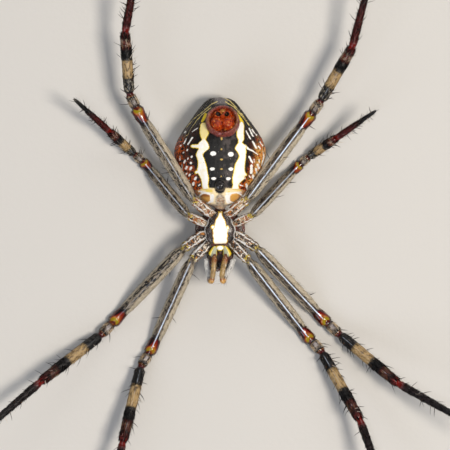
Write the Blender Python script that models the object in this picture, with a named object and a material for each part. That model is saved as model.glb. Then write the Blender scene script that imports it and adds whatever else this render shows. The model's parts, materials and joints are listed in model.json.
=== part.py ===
"""A female St Andrew's cross spider, life size, resting on its back with its legs spread in an X.

The belly faces +Z, the head end points along -Y, and the part stands on Z = 0. The back of the abdomen
and the knees of the first three pairs of legs rest there, on small flats. The origin lies under the
middle of the whole spider. All sizes below are in millimetres and become metres through MM.
"""

import math

import bmesh
import bpy
from mathutils import Matrix, Vector

MM = 0.001

# Stations of the body's forms, from the head end to the tail end. Each row holds the place along Y,
# the half width, the height of the back (low) and the height of the belly side (high).
ABDOMEN = (
    (1.30, 0.30, 3.25, 3.85),
    (1.58, 0.52, 2.85, 4.12),
    (1.86, 1.16, 2.20, 4.56),
    (2.30, 1.72, 1.55, 4.92),
    (3.10, 2.52, 0.88, 5.32),
    (4.30, 3.36, 0.30, 5.66),
    (5.50, 3.90, -0.02, 5.82),
    (6.80, 4.00, -0.07, 5.82),
    (8.10, 3.42, 0.09, 5.55),
    (9.30, 2.56, 0.55, 4.86),
    (10.40, 1.74, 1.25, 3.86),
    (11.00, 1.16, 1.75, 3.10),
    (11.28, 0.50, 2.10, 2.62),
)
CARAPACE = (
    (-4.10, 0.66, 2.34, 2.98),
    (-3.98, 0.92, 2.10, 3.08),
    (-3.55, 1.12, 1.82, 3.14),
    (-2.80, 1.22, 1.62, 3.18),
    (-2.10, 1.46, 1.66, 3.20),
    (-1.45, 1.90, 1.76, 3.20),
    (-0.55, 2.24, 1.80, 3.20),
    (0.30, 2.12, 1.90, 3.20),
    (0.92, 1.52, 2.16, 3.18),
    (1.22, 0.72, 2.52, 3.12),
)
STERNUM = (
    (-1.74, 0.62, 3.38, 4.02),
    (-1.52, 0.98, 3.32, 4.26),
    (-0.90, 1.22, 3.30, 4.42),
    (-0.20, 1.18, 3.30, 4.48),
    (0.45, 0.92, 3.30, 4.44),
    (0.95, 0.56, 3.32, 4.32),
    (1.24, 0.24, 3.45, 4.12),
)
LABIUM = (
    (-2.36, 0.12, 3.95, 4.32),
    (-2.20, 0.24, 3.80, 4.42),
    (-1.98, 0.42, 3.74, 4.46),
    (-1.80, 0.36, 3.80, 4.36),
)
ABDOMEN_WIDEST = 0.36  # height of the widest line, as a share of the way from back to belly
CARAPACE_WIDEST = 0.72
STERNUM_WIDEST = 0.55

# The spinnerets: a round cluster on the belly near the tail end, leaning backwards.
SPINNERETS_AT = (0.18, 9.05, 5.02)
SPINNERETS_RADIUS = 1.45
SPINNERETS_RISE = 1.05
SPINNERETS_SKIRT = 0.60  # depth of the sides below the belly's surface
SPINNERETS_LEAN = math.radians(-24)
SPINNERETS_DOME = ((0.0, 1.0), (0.40, 0.985), (0.72, 0.88), (0.90, 0.68), (1.0, 0.36))

# The epigyne: a dark knob on the belly near the front of the abdomen.
EPIGYNE_AT = (0.0, 3.48, 5.36)
EPIGYNE_SIZE = (0.50, 0.51, 0.44)

# Mouth parts, given for the right side and mirrored for the left.
CHELICERA_PATH = (
    (0.42, -3.42, 3.25), (0.42, -3.44, 3.36), (0.42, -3.52, 3.72), (0.41, -3.62, 4.12), (0.40, -3.68, 4.34),
    (0.39, -3.70, 4.44),
)
CHELICERA_RADII = (0.22, 0.33, 0.375, 0.36, 0.28, 0.14)
ENDITE_PATH = ((0.56, -1.98, 4.02), (0.59, -2.10, 4.06), (0.66, -2.38, 4.10), (0.72, -2.64, 4.08), (0.75, -2.76, 4.04))
ENDITE_RADII = (0.15, 0.25, 0.29, 0.26, 0.15)
PALP_PATH = (
    (1.16, -2.94, 3.86), (1.18, -3.08, 3.86), (1.14, -3.60, 3.86), (1.02, -4.16, 3.88),
    (0.90, -4.64, 3.98), (0.82, -4.90, 4.20), (0.74, -4.92, 4.50), (0.66, -4.68, 4.72),
    (0.58, -4.10, 4.82), (0.53, -3.50, 4.80), (0.50, -3.04, 4.76), (0.49, -2.84, 4.74),
)
PALP_RADII = (0.17, 0.26, 0.27, 0.26, 0.26, 0.26, 0.26, 0.27, 0.27, 0.26, 0.24, 0.15)

# The eight eyes: place of the right one of each pair on the head, and radius.
EYES = {
    "anterior_median_eye": ((0.22, -4.02, 2.46), 0.125),
    "posterior_median_eye": ((0.27, -3.70, 1.93), 0.135),
    "anterior_lateral_eye": ((0.80, -3.90, 2.56), 0.095),
    "posterior_lateral_eye": ((0.93, -3.70, 2.32), 0.105),
}
EYE_SINK = 0.018  # gap left round each eye in its socket

# Legs. Lengths of the segments, centre to centre of the joints.
SEGMENT_LENGTHS = {
    1: {"femur": 8.99, "patella": 2.15, "tibia": 7.15, "metatarsus": 9.60},
    2: {"femur": 9.04, "patella": 2.25, "tibia": 7.05, "metatarsus": 9.20},
    3: {"femur": 6.71, "patella": 1.50, "tibia": 3.30, "metatarsus": 4.90},
    4: {"femur": 8.87, "patella": 2.08, "tibia": 5.46, "metatarsus": 8.20},
}
# Place of the right coxa where it leaves the sternum, and of the end of the trochanter.
COXA_FROM = {1: (1.20, -1.78), 2: (1.48, -0.84), 3: (1.44, 0.18), 4: (0.98, 1.10)}
COXA_TO = {1: (2.52, -3.14), 2: (3.26, -2.08), 3: (2.82, 0.84), 4: (2.40, 2.26)}
COXA_HEIGHTS = {1: (3.86, 3.72), 2: (3.86, 3.72), 3: (3.86, 3.72), 4: (3.94, 4.06)}
# Heights of the ends of the later segments; the knee's own height puts it on the floor, or above it.
KNEE_LIFT = {1: 0.0, 2: 0.0, 3: 0.0, 4: 2.60}
PATELLA_RISE = {1: 0.50, 2: 0.50, 3: 0.36, 4: 0.42}
TIBIA_END = {1: 3.30, 2: 3.30, 3: 2.25, 4: 4.20}
TIP = {1: 6.90, 2: 6.80, 3: 4.90, 4: 6.90}
# Headings in plan, in degrees from straight out sideways; positive turns towards the tail end.
HEADINGS = {
    "R": {
        1: {"femur": -52.2, "patella": -48.0, "tibia": -60.8, "metatarsus": -70.5},
        2: {"femur": -46.8, "patella": -43.5, "tibia": -39.8, "metatarsus": -29.3},
        3: {"femur": 47.0, "patella": 41.5, "tibia": 34.1, "metatarsus": 34.6},
        4: {"femur": 53.1, "patella": 53.9, "tibia": 59.7, "metatarsus": 75.5},
    },
    "L": {
        1: {"femur": -65.6, "patella": -60.1, "tibia": -76.6, "metatarsus": -79.0},
        2: {"femur": -46.4, "patella": -46.6, "tibia": -37.7, "metatarsus": -40.8},
        3: {"femur": 50.2, "patella": 42.6, "tibia": 42.5, "metatarsus": 42.6},
        4: {"femur": 57.9, "patella": 63.9, "tibia": 86.0, "metatarsus": 101.0},
    },
}
LEG_GIRTH = {1: 1.0, 2: 1.0, 3: 0.84, 4: 1.0}
# How the radius runs along each segment: (share of the length, radius).
GIRTHS = {
    "coxa": ((0.0, 0.28), (0.08, 0.44), (0.40, 0.54), (0.72, 0.52), (0.93, 0.46), (1.0, 0.26)),
    "femur": ((0.0, 0.26), (0.022, 0.44), (0.12, 0.56), (0.35, 0.60), (0.80, 0.58), (0.972, 0.50), (1.0, 0.28)),
    "patella": ((0.0, 0.28), (0.06, 0.50), (0.20, 0.56), (0.38, 0.47), (0.85, 0.48), (1.0, 0.26)),
    "tibia": ((0.0, 0.26), (0.025, 0.44), (0.20, 0.50), (0.60, 0.48), (0.965, 0.41), (1.0, 0.24)),
    "metatarsus": ((0.0, 0.24), (0.025, 0.37), (0.12, 0.36), (0.45, 0.31), (0.97, 0.25), (1.0, 0.15)),
}
THINNEST_RADIUS = 0.25  # of a leg, away from the rounded ends
BOW = {"coxa": 0.0, "femur": -0.020, "patella": 0.0, "tibia": 0.012, "metatarsus": -0.022}
KNEE_SHARE = 0.20  # where the knee's knob is widest, as a share of the patella
FLAT_DEPTH = 0.035  # how far a rounded form is cut back where it rests
JOINT_GAP = 0.05  # left free on each side of a joint's centre
LIMB_SIDES = 3  # bevel resolution: ten sides

FLOOR_BLOCK = (80.0, 80.0, 10.0)
CUT_GAP = 0.05  # between a form and what is set into it

COLOURS = {  # colour, roughness
    "banded_cuticle": ((0.16, 0.13, 0.10), 0.45),
    "pale_carapace": ((0.42, 0.39, 0.33), 0.55),
    "abdomen_skin": ((0.10, 0.09, 0.07), 0.40),
    "spinneret_red": ((0.38, 0.09, 0.03), 0.35),
    "dark_cuticle": ((0.03, 0.02, 0.018), 0.22),
    "cream_plate": ((0.80, 0.72, 0.42), 0.45),
    "palp_tan": ((0.50, 0.30, 0.12), 0.45),
    "leg_grey": ((0.34, 0.30, 0.25), 0.50),
    "leg_dark": ((0.05, 0.03, 0.025), 0.40),
    "knee_amber": ((0.45, 0.20, 0.05), 0.20),
    "eye_black": ((0.01, 0.01, 0.01), 0.05),
}
LEG_COLOURS = {
    "coxa": "banded_cuticle", "femur": "leg_grey", "patella": "knee_amber",
    "tibia": "leg_dark", "metatarsus": "leg_dark",
}


def clear_scene():
    for obj in list(bpy.data.objects):
        bpy.data.objects.remove(obj, do_unlink=True)


def new_collection(name):
    collection = bpy.data.collections.new(name)
    bpy.context.scene.collection.children.link(collection)
    return collection


def make_materials():
    made = {}
    for name, (colour, roughness) in COLOURS.items():
        material = bpy.data.materials.new(name)
        material.use_nodes = True
        shader = material.node_tree.nodes["Principled BSDF"]
        shader.inputs["Base Color"].default_value = (*colour, 1.0)
        shader.inputs["Roughness"].default_value = roughness
        shader.inputs["Metallic"].default_value = 0.0
        made[name] = material
    return made


def along(rows, place):
    """Values of a table of rows at a place, on a smooth curve through them (Catmull-Rom)."""
    last = len(rows) - 1
    index = 0
    while index < last - 1 and place > rows[index + 1][0]:
        index += 1
    before, here = rows[max(index - 1, 0)], rows[index]
    there, after = rows[index + 1], rows[min(index + 2, last)]
    span = there[0] - here[0]
    t = min(max((place - here[0]) / span, 0.0), 1.0)
    values = []
    for column in range(1, len(here)):
        rise_here = (there[column] - before[column]) / (there[0] - before[0]) * span
        rise_there = (after[column] - here[column]) / (after[0] - here[0]) * span
        values.append(
            (2 * t**3 - 3 * t**2 + 1) * here[column]
            + (t**3 - 2 * t**2 + t) * rise_here
            + (3 * t**2 - 2 * t**3) * there[column]
            + (t**3 - t**2) * rise_there
        )
    return values


def object_from(bm, name, material, collection):
    mesh = bpy.data.meshes.new(name)
    bm.to_mesh(mesh)
    bm.free()
    mesh.materials.append(material)
    mesh.shade_smooth()
    obj = bpy.data.objects.new(name, mesh)
    collection.objects.link(obj)
    return obj


def body_form(name, rows, widest, around, lengthwise, material, collection):
    """A sphere drawn out along Y to a table of stations, with its widest line at a share of the height."""
    bm = bmesh.new()
    bmesh.ops.create_uvsphere(bm, u_segments=around, v_segments=lengthwise, radius=1.0)
    start, end = rows[0][0], rows[-1][0]
    for vert in bm.verts:
        turn = math.acos(max(-1.0, min(1.0, vert.co.z))) / math.pi
        half_width, low, high = along(rows, start + (end - start) * turn)
        middle = low + (high - low) * widest
        side, up = vert.co.x, vert.co.y
        ring = math.hypot(side, up)
        if ring < 1e-6:
            vert.co = ((0.0, (start + (end - start) * turn) * MM, middle * MM))
            continue
        side, up = side / ring, up / ring
        reach = high - middle if up > 0 else middle - low
        vert.co = (side * half_width * MM, (start + (end - start) * turn) * MM, (middle + up * reach) * MM)
    bmesh.ops.recalc_face_normals(bm, faces=bm.faces)
    return object_from(bm, name, material, collection)


def limb(name, points, radii, material, collection):
    """A round tube through the points, with a radius at each and closed ends, as a welded mesh."""
    curve = bpy.data.curves.new(name, "CURVE")
    curve.dimensions = "3D"
    curve.bevel_depth = 1.0
    curve.bevel_resolution = LIMB_SIDES
    curve.use_fill_caps = True
    spline = curve.splines.new("POLY")
    spline.points.add(len(points) - 1)
    for point, place, radius in zip(spline.points, points, radii):
        point.co = (*(Vector(place) * MM), 1.0)
        point.radius = radius * MM
    guide = bpy.data.objects.new(name + "_guide", curve)
    collection.objects.link(guide)
    graph = bpy.context.evaluated_depsgraph_get()
    mesh = bpy.data.meshes.new_from_object(guide.evaluated_get(graph))
    bpy.data.objects.remove(guide, do_unlink=True)
    bm = bmesh.new()
    bm.from_mesh(mesh)
    bpy.data.meshes.remove(mesh)
    bmesh.ops.remove_doubles(bm, verts=bm.verts, dist=1e-7)
    bmesh.ops.recalc_face_normals(bm, faces=bm.faces)
    return object_from(bm, name, material, collection)


def mirrored(points, side):
    """The points for one side of the body, from those of the right side."""
    sign = 1.0 if side == "R" else -1.0
    return [(sign * x, y, z) for x, y, z in points]


def cut(obj, cutter, collection):
    """Takes the cutter's shape out of the object, and puts the cutter away."""
    for holder in list(cutter.users_collection):
        holder.objects.unlink(cutter)
    collection.objects.link(cutter)
    cutter.hide_render = True
    cutter.display_type = "WIRE"
    modifier = obj.modifiers.new("cut_" + cutter.name, "BOOLEAN")
    modifier.operation = "DIFFERENCE"
    modifier.solver = "EXACT"
    modifier.object = cutter


def grown_copy(obj, gap, collection):
    """A copy of a form, larger by a gap all round, to cut room for it."""
    bm = bmesh.new()
    bm.from_mesh(obj.data)
    bm.normal_update()
    for vert in bm.verts:
        vert.co += vert.normal * gap * MM
    copy = object_from(bm, obj.name + "_room", obj.data.materials[0], collection)
    copy.matrix_world = obj.matrix_world.copy()
    return copy


def floor_block(material, collection):
    bm = bmesh.new()
    bmesh.ops.create_cube(bm, size=1.0)
    size = Vector(FLOOR_BLOCK) * MM
    for vert in bm.verts:
        vert.co = (vert.co.x * size.x, vert.co.y * size.y, (vert.co.z - 0.5) * size.z)
    return object_from(bm, "floor_cutter", material, collection)


def make_spinnerets(materials, collection):
    """A dome of revolution, turned from its profile and leaned backwards."""
    bm = bmesh.new()
    rings = [(SPINNERETS_RADIUS * share, SPINNERETS_RISE * rise) for rise, share in SPINNERETS_DOME]
    profile = [bm.verts.new((0.0, 0.0, SPINNERETS_RISE * MM))]
    profile += [bm.verts.new((radius * MM, 0.0, rise * MM)) for radius, rise in reversed(rings)]
    profile.append(bm.verts.new((SPINNERETS_RADIUS * MM, 0.0, -SPINNERETS_SKIRT * MM)))
    profile.append(bm.verts.new((0.0, 0.0, -SPINNERETS_SKIRT * MM)))
    edges = [bm.edges.new(pair) for pair in zip(profile, profile[1:])]
    bmesh.ops.spin(
        bm, geom=profile + edges, axis=(0, 0, 1), cent=(0, 0, 0), steps=20, angle=2 * math.pi, use_merge=True
    )
    bmesh.ops.remove_doubles(bm, verts=bm.verts, dist=1e-7)
    bmesh.ops.recalc_face_normals(bm, faces=bm.faces)
    lean = Matrix.Rotation(SPINNERETS_LEAN, 4, "X")
    bmesh.ops.transform(bm, matrix=Matrix.Translation(Vector(SPINNERETS_AT) * MM) @ lean, verts=bm.verts)
    return object_from(bm, "spinnerets", materials["spinneret_red"], collection)


def round_form(name, place, radii, around, lengthwise, material, collection):
    bm = bmesh.new()
    bmesh.ops.create_uvsphere(bm, u_segments=around, v_segments=lengthwise, radius=1.0)
    for vert in bm.verts:
        vert.co = Vector([(c * r + p) * MM for c, r, p in zip(vert.co, radii, place)])
    return object_from(bm, name, material, collection)


def step(point, heading, length, height, sign):
    """The end of a segment: its heading in plan, its true length, and the height that its end has."""
    plan = math.sqrt(length**2 - (height - point[2]) ** 2)
    turn = math.radians(heading)
    return (point[0] + sign * plan * math.cos(turn), point[1] + plan * math.sin(turn), height)


def knee_height(pair):
    """Height of the knee's centre that sets its knob on the floor, sunk by the flat's depth."""
    knob = dict((round(share, 3), radius) for share, radius in GIRTHS["patella"])[KNEE_SHARE]
    rise = PATELLA_RISE[pair] * KNEE_SHARE
    return knob * LEG_GIRTH[pair] - FLAT_DEPTH - rise + KNEE_LIFT[pair]


def leg_joints(pair, side):
    """Centres of a leg's joints, from the sternum's edge to the tip."""
    sign = 1.0 if side == "R" else -1.0
    start, end = COXA_FROM[pair], COXA_TO[pair]
    low = knee_height(pair)
    heights = {
        "femur": low,
        "patella": low + PATELLA_RISE[pair],
        "tibia": TIBIA_END[pair],
        "metatarsus": TIP[pair],
    }
    joints = [(sign * start[0], start[1], COXA_HEIGHTS[pair][0]), (sign * end[0], end[1], COXA_HEIGHTS[pair][1])]
    for segment, height in heights.items():
        heading = HEADINGS[side][pair][segment]
        joints.append(step(joints[-1], heading, SEGMENT_LENGTHS[pair][segment], height, sign))
    return joints


def leg_segment(name, segment, start, end, girth, material, collection):
    """One segment between two joint centres, bowed a little towards the belly or the back."""
    start, end = Vector(start), Vector(end)
    line = end - start
    length = line.length
    start = start + line * (JOINT_GAP / length)
    end = end - line * (JOINT_GAP / length)
    across = line.normalized().cross(Vector((0, 0, 1))).normalized()
    upward = across.cross(line.normalized())
    points, radii = [], []
    for share, radius in GIRTHS[segment]:
        bow = BOW[segment] * length * 4 * share * (1 - share)
        points.append(start.lerp(end, share) + upward * bow)
        inner = 0.01 < share < 0.99
        radii.append(max(radius * girth, THINNEST_RADIUS) if inner else radius * girth)
    return limb(name, points, radii, material, collection)


def make_legs(materials, collection):
    made = []
    for side in "LR":
        for pair in (1, 2, 3, 4):
            joints = leg_joints(pair, side)
            for number, segment in enumerate(GIRTHS):
                name = f"leg{pair}_{side}_{segment}"
                material = materials[LEG_COLOURS[segment]]
                girth = LEG_GIRTH[pair]
                made.append(
                    leg_segment(name, segment, joints[number], joints[number + 1], girth, material, collection)
                )
    return made


def make_eyes(materials, collection):
    made = []
    for name, (place, radius) in EYES.items():
        for side in "LR":
            spot = mirrored([place], side)[0]
            made.append(round_form(f"{name}_{side}", spot, (radius,) * 3, 8, 6, materials["eye_black"], collection))
    return made


def make_mouth_parts(materials, collection):
    made = []
    for side in "LR":
        parts = (
            (f"chelicera_{side}", CHELICERA_PATH, CHELICERA_RADII, "dark_cuticle"),
            (f"endite_{side}", ENDITE_PATH, ENDITE_RADII, "cream_plate"),
            (f"palp_{side}", PALP_PATH, PALP_RADII, "palp_tan"),
        )
        for name, path, radii, colour in parts:
            made.append(limb(name, mirrored(path, side), radii, materials[colour], collection))
    return made


def make_body(materials, collection, cutters):
    abdomen = body_form("abdomen", ABDOMEN, ABDOMEN_WIDEST, 28, 22, materials["abdomen_skin"], collection)
    carapace = body_form("carapace", CARAPACE, CARAPACE_WIDEST, 20, 16, materials["pale_carapace"], collection)
    sternum = body_form("sternum", STERNUM, STERNUM_WIDEST, 16, 12, materials["cream_plate"], collection)
    labium = body_form("labium", LABIUM, STERNUM_WIDEST, 12, 8, materials["cream_plate"], collection)
    spinnerets = make_spinnerets(materials, collection)
    epigyne = round_form("epigyne", EPIGYNE_AT, EPIGYNE_SIZE, 12, 6, materials["dark_cuticle"], collection)
    eyes = make_eyes(materials, collection)
    for piece in (spinnerets, epigyne):
        cut(abdomen, grown_copy(piece, CUT_GAP, collection), cutters)
    for eye in eyes:
        cut(carapace, grown_copy(eye, EYE_SINK, collection), cutters)
    return [abdomen, carapace, sternum, labium, spinnerets, epigyne, *eyes]


def centring_move(pieces):
    """The move that brings the origin to the middle of the whole spider's plan."""
    corners = [piece.matrix_world @ vert.co for piece in pieces for vert in piece.data.vertices]
    middle = Vector(
        [(min(c[axis] for c in corners) + max(c[axis] for c in corners)) / 2 for axis in (0, 1)] + [0.0]
    )
    return -middle


def main():
    clear_scene()
    materials = make_materials()
    spider = new_collection("orb_weaver_spider")
    cutters = new_collection("cutters")
    body = make_body(materials, spider, cutters)
    mouth = make_mouth_parts(materials, spider)
    legs = make_legs(materials, spider)
    pieces = body + mouth + legs
    block = floor_block(materials["leg_dark"], cutters)
    for piece in pieces:
        if min(vert.co.z for vert in piece.data.vertices) < 0:
            cut(piece, block, cutters)
    move = centring_move(pieces)
    for obj in pieces + list(cutters.objects):
        obj.location = move
    cutters.hide_render = True


main()
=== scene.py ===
"""The looks of a St Andrew's cross spider, life size, lying on its back with its legs spread in an X.

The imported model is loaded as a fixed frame. Each leg gets one unbroken skin that runs through its five
solids, and the trunk gets its plates, membranes and soft abdomen. Over them lies a coat of flat hairs,
longer fringe hairs and stout spines, all as solid mesh. Tables of shape and marking are in millimetres,
in body coordinates: X across from the middle line, Y towards the tail end from the waist, Z up from the
floor, which is the belly side of this spider.
"""

import json
import math

import bpy
import numpy as np
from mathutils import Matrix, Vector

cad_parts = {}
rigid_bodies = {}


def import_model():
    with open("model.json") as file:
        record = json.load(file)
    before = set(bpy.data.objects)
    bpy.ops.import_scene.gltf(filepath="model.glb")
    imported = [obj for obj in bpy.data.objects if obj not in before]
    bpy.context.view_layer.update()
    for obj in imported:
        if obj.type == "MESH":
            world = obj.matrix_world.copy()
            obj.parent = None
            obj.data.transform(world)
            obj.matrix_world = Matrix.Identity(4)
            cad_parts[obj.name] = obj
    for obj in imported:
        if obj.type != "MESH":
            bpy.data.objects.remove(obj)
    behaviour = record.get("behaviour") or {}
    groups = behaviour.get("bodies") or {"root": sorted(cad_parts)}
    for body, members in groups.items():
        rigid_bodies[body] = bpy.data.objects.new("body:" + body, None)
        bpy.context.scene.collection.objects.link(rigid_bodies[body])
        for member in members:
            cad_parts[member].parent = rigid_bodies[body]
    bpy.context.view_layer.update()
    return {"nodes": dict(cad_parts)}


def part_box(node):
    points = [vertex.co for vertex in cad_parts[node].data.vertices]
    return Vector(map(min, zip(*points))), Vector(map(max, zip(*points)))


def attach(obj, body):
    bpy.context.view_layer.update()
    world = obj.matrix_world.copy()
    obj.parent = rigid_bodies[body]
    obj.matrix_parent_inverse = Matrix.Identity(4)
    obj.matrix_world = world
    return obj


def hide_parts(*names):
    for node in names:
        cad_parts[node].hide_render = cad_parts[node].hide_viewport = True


bl_info = {
    "name": "Orb weaver spider",
    "version": (1, 0, 0),
    "blender": (4, 5, 0),
    "location": "3D View > Sidebar > Spider",
    "description": "Builds the skin, coat, plates and eyes of a still orb weaver spider around its solids",
    "category": "Add Mesh",
}

MM = 0.001
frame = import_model()
ABDOMEN_LOW, ABDOMEN_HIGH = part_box("abdomen")
ABDOMEN_FRONT = 1.30  # where the abdomen's front end lies in body coordinates
BODY_ORIGIN = np.array(
    [(ABDOMEN_LOW.x + ABDOMEN_HIGH.x) / 2 / MM, ABDOMEN_LOW.y / MM - ABDOMEN_FRONT, 0.0]
)
SIDES = {"L": -1.0, "R": 1.0}
SEGMENTS = ("coxa", "femur", "patella", "tibia", "metatarsus")
MADE = {}  # the legs' surfaces and the materials that later steps use again


# ---------------------------------------------------------------- sizes and colours a user may change


def linear(code):
    """An sRGB hex colour as linear red, green and blue."""
    parts = [int(code[i : i + 2], 16) / 255 for i in (1, 3, 5)]
    return tuple(c / 12.92 if c <= 0.04045 else ((c + 0.055) / 1.055) ** 2.4 for c in parts)


PALETTE = {
    "black": ("#080607", "Tanned black of the leg bands and the belly"),
    # Painted sheen: grey light on the black of the belly's middle field.
    "charcoal": ("#463E3C", "Grey sheen of the belly's middle field"),
    "umber": ("#33221A", "Brown-black of the coxae and the membranes"),
    "femur_grey": ("#8B7F6C", "Cuticle of the femora between the hairs"),
    "silver": ("#DACFC0", "Silvery flat hairs"),
    "ash": ("#B8AB94", "Grey-brown flat hairs of the femora"),
    "tan": ("#9A8264", "Tan flat hairs among the silver ones"),
    # Painted highlight of hairs catching the light along the legs' edges, mostly on the +X side; also the
    # hind legs' pale hairs.
    "cream": ("#EBE0C8", "Cream hairs along the legs' edges"),
    "gold": ("#A68A5C", "Golden hairs of the tibiae's pale bands"),
    "moss": ("#B09A2C", "Yellow-olive spots of the trochanters"),
    # Painted highlight: the bluish-white line of light along the legs' belly side.
    "shine": ("#CFDDF0", "Bluish-white bare line along the belly side of the legs"),
    "blood": ("#4E0603", "Dark red of the knees' inner half and the feet"),
    "scarlet": ("#7A140A", "Red of the small joints"),
    "amber": ("#8E4C14", "Orange brown of the knees"),
    "olive": ("#8F7E0E", "Olive yellow of the knees' outer half"),
    "lilac": ("#938C8D", "Whitish lilac of the patellae and palps"),
    "pigment": ("#FDFBF5", "White pigment under the belly's skin"),
    "butter": ("#FBE58A", "Pale yellow within the white stripes"),
    "yellow": ("#EBCB14", "Clear yellow edge of the white stripes"),
    "ivory": ("#F5DFB0", "Cream of the abdomen's front"),
    "orange": ("#DBA452", "Tan orange of the book-lung covers"),
    "flame": ("#D25C10", "Orange-red net of the abdomen's sides"),
    "rust": ("#5C1E0B", "Rust brown between the dashes of the abdomen's sides"),
    "brick": ("#B43C00", "Rust orange of the spinnerets"),
    "rose": ("#7E3B33", "Dusky red of the spinnerets' collar"),
    # Painted highlight: pale glints on the collar's fold crests.
    "mauve": ("#C3A2AA", "Pale fold edges of the spinnerets"),
    "frost": ("#DEDCD8", "Silver-white hair of the carapace"),
    "honey": ("#AC6A1E", "Orange brown of the palps and the fangs' roots"),
    "sand": ("#D6B35C", "Tan yellow of the palps"),
    "sage": ("#ABAE95", "Grey green inside the mouth plates"),
    "lens": ("#050404", "Near black of the eyes"),
    "floor": ("#C9C7C3", "Pale floor"),
}


class SpiderColours(bpy.types.PropertyGroup):
    """The colours of the cuticle, the hairs and the floor."""


for key, (code, text) in PALETTE.items():
    SpiderColours.__annotations__[key] = bpy.props.FloatVectorProperty(
        name=key.replace("_", " ").capitalize(),
        description=text,
        subtype="COLOR",
        size=3,
        min=0.0,
        max=1.0,
        default=linear(code),
    )


class SpiderSizes(bpy.types.PropertyGroup):
    """The sizes and counts of the skin and the coat."""

    coat_depth: bpy.props.FloatProperty(
        name="Coat depth", description="How far the body's skin lies inside the solids", subtype="DISTANCE",
        unit="LENGTH", default=0.05 * MM, min=0.0, max=0.2 * MM, precision=6,
    )
    leg_sides: bpy.props.IntProperty(
        name="Sides of a leg", description="Points around a leg's skin", default=30, min=12, max=64
    )
    ring_gap: bpy.props.FloatProperty(
        name="Ring spacing", description="Distance between the rings of a leg's skin", subtype="DISTANCE",
        unit="LENGTH", default=0.085 * MM, min=0.05 * MM, max=0.5 * MM, precision=6,
    )
    leg_hairs: bpy.props.IntProperty(
        name="Hairs on a leg", description="Flat hairs of one leg's coat", default=8600, min=0, max=20000
    )
    leg_fringe: bpy.props.IntProperty(
        name="Fringe on a leg", description="Longer hairs that stand out from one leg", default=340, min=0,
        max=4000,
    )
    abdomen_hairs: bpy.props.IntProperty(
        name="Hairs on the abdomen", description="Short hairs of the abdomen", default=9000, min=0, max=20000
    )
    carapace_hairs: bpy.props.IntProperty(
        name="Hairs on the carapace", description="Silver hairs of the carapace", default=6500, min=0,
        max=20000,
    )
    hair_width: bpy.props.FloatProperty(
        name="Hair width", description="Width of a flat hair at its root", subtype="DISTANCE", unit="LENGTH",
        default=0.052 * MM, min=0.004 * MM, max=0.1 * MM, precision=6,
    )
    camera_distance: bpy.props.FloatProperty(
        name="Camera distance", description="Height of the camera above the floor", subtype="DISTANCE",
        unit="LENGTH", default=0.5, min=0.1, max=5.0,
    )


def sizes():
    """The sizes that the user has set."""
    return bpy.context.scene.spider_sizes


def colour(key):
    """A named colour as the four numbers that a socket takes. A socket stays as it is."""
    return (*getattr(bpy.context.scene.spider_colours, key), 1.0) if isinstance(key, str) else key


# ---------------------------------------------------------------- number tools


def unit(vectors):
    """Vectors made 1 long."""
    return vectors / np.maximum(np.linalg.norm(vectors, axis=-1, keepdims=True), 1e-12)


def smooth(low, high, values):
    """0 below low, 1 above high, and an even rise between them. low may be above high."""
    t = np.clip((values - low) / (high - low), 0.0, 1.0)
    return t * t * (3 - 2 * t)


def between(rise, full, fall, end, values):
    """A smooth hill: 0 outside rise and end, and 1 from full to fall."""
    return smooth(rise, full, values) * smooth(end, fall, values)


def bell(values, width):
    """A bell curve, 1 where values are 0, with a width."""
    return np.exp(-((values / width) ** 2))


def around(columns):
    """Even angles once around."""
    return np.arange(columns) * 2 * math.pi / columns


def spread(values, shape):
    """Values laid out over a whole grid."""
    return np.broadcast_to(values, shape).copy()


def at(rows, places):
    """Values of a table of rows at places, on smooth curves through its points (Catmull-Rom)."""
    table = np.asarray(rows, float)
    x, y = table[:, 0], table[:, 1:]
    slope = np.empty_like(y)
    slope[1:-1] = (y[2:] - y[:-2]) / (x[2:] - x[:-2])[:, None]
    slope[0] = (y[1] - y[0]) / (x[1] - x[0])
    slope[-1] = (y[-1] - y[-2]) / (x[-1] - x[-2])
    place = np.clip(places, x[0], x[-1])
    i = np.clip(np.searchsorted(x, place, side="right") - 1, 0, len(x) - 2)
    span = (x[i + 1] - x[i])[..., None]
    t = (place - x[i])[..., None] / span
    made = (2 * t**3 - 3 * t**2 + 1) * y[i] + (t**3 - 2 * t**2 + t) * slope[i] * span
    made += (3 * t**2 - 2 * t**3) * y[i + 1] + (t**3 - t**2) * slope[i + 1] * span
    return made[..., 0] if y.shape[1] == 1 else made


def lumps(points, size, seed):
    """Smooth random values from -1 to 1 at points, with lumps of about a size."""
    rng = np.random.default_rng(seed)
    side = 64
    lattice = rng.uniform(-1, 1, (side, side, side))
    scaled = np.asarray(points) / size + 1000.0
    base = np.floor(scaled).astype(int)
    t = scaled - base
    t = t * t * (3 - 2 * t)
    made = 0.0
    for corner in range(8):
        bits = np.array([corner & 1, corner >> 1 & 1, corner >> 2 & 1])
        index = (base + bits) % side
        weight = np.prod(np.where(bits, t, 1 - t), axis=-1)
        made = made + weight * lattice[index[..., 0], index[..., 1], index[..., 2]]
    return made


def capsule(plan, start, end, radius, end_radius=None):
    """Signed distance in plan to a line with round ends, thinning from one radius to the other."""
    start, line = np.array(start, float), np.array(end, float) - np.array(start, float)
    share = np.clip(((plan - start) @ line) / max(line @ line, 1e-12), 0, 1)
    apart = np.linalg.norm(plan - start - share[..., None] * line, axis=-1)
    return apart - (radius + ((end_radius or radius) - radius) * share)


def oval(plan, x, y, half_width, half_length):
    """Signed distance in plan to an upright oval, near enough for small ones."""
    scaled = np.hypot((plan[..., 0] - x) / half_width, (plan[..., 1] - y) / half_length)
    return (scaled - 1) * min(half_width, half_length)


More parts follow.
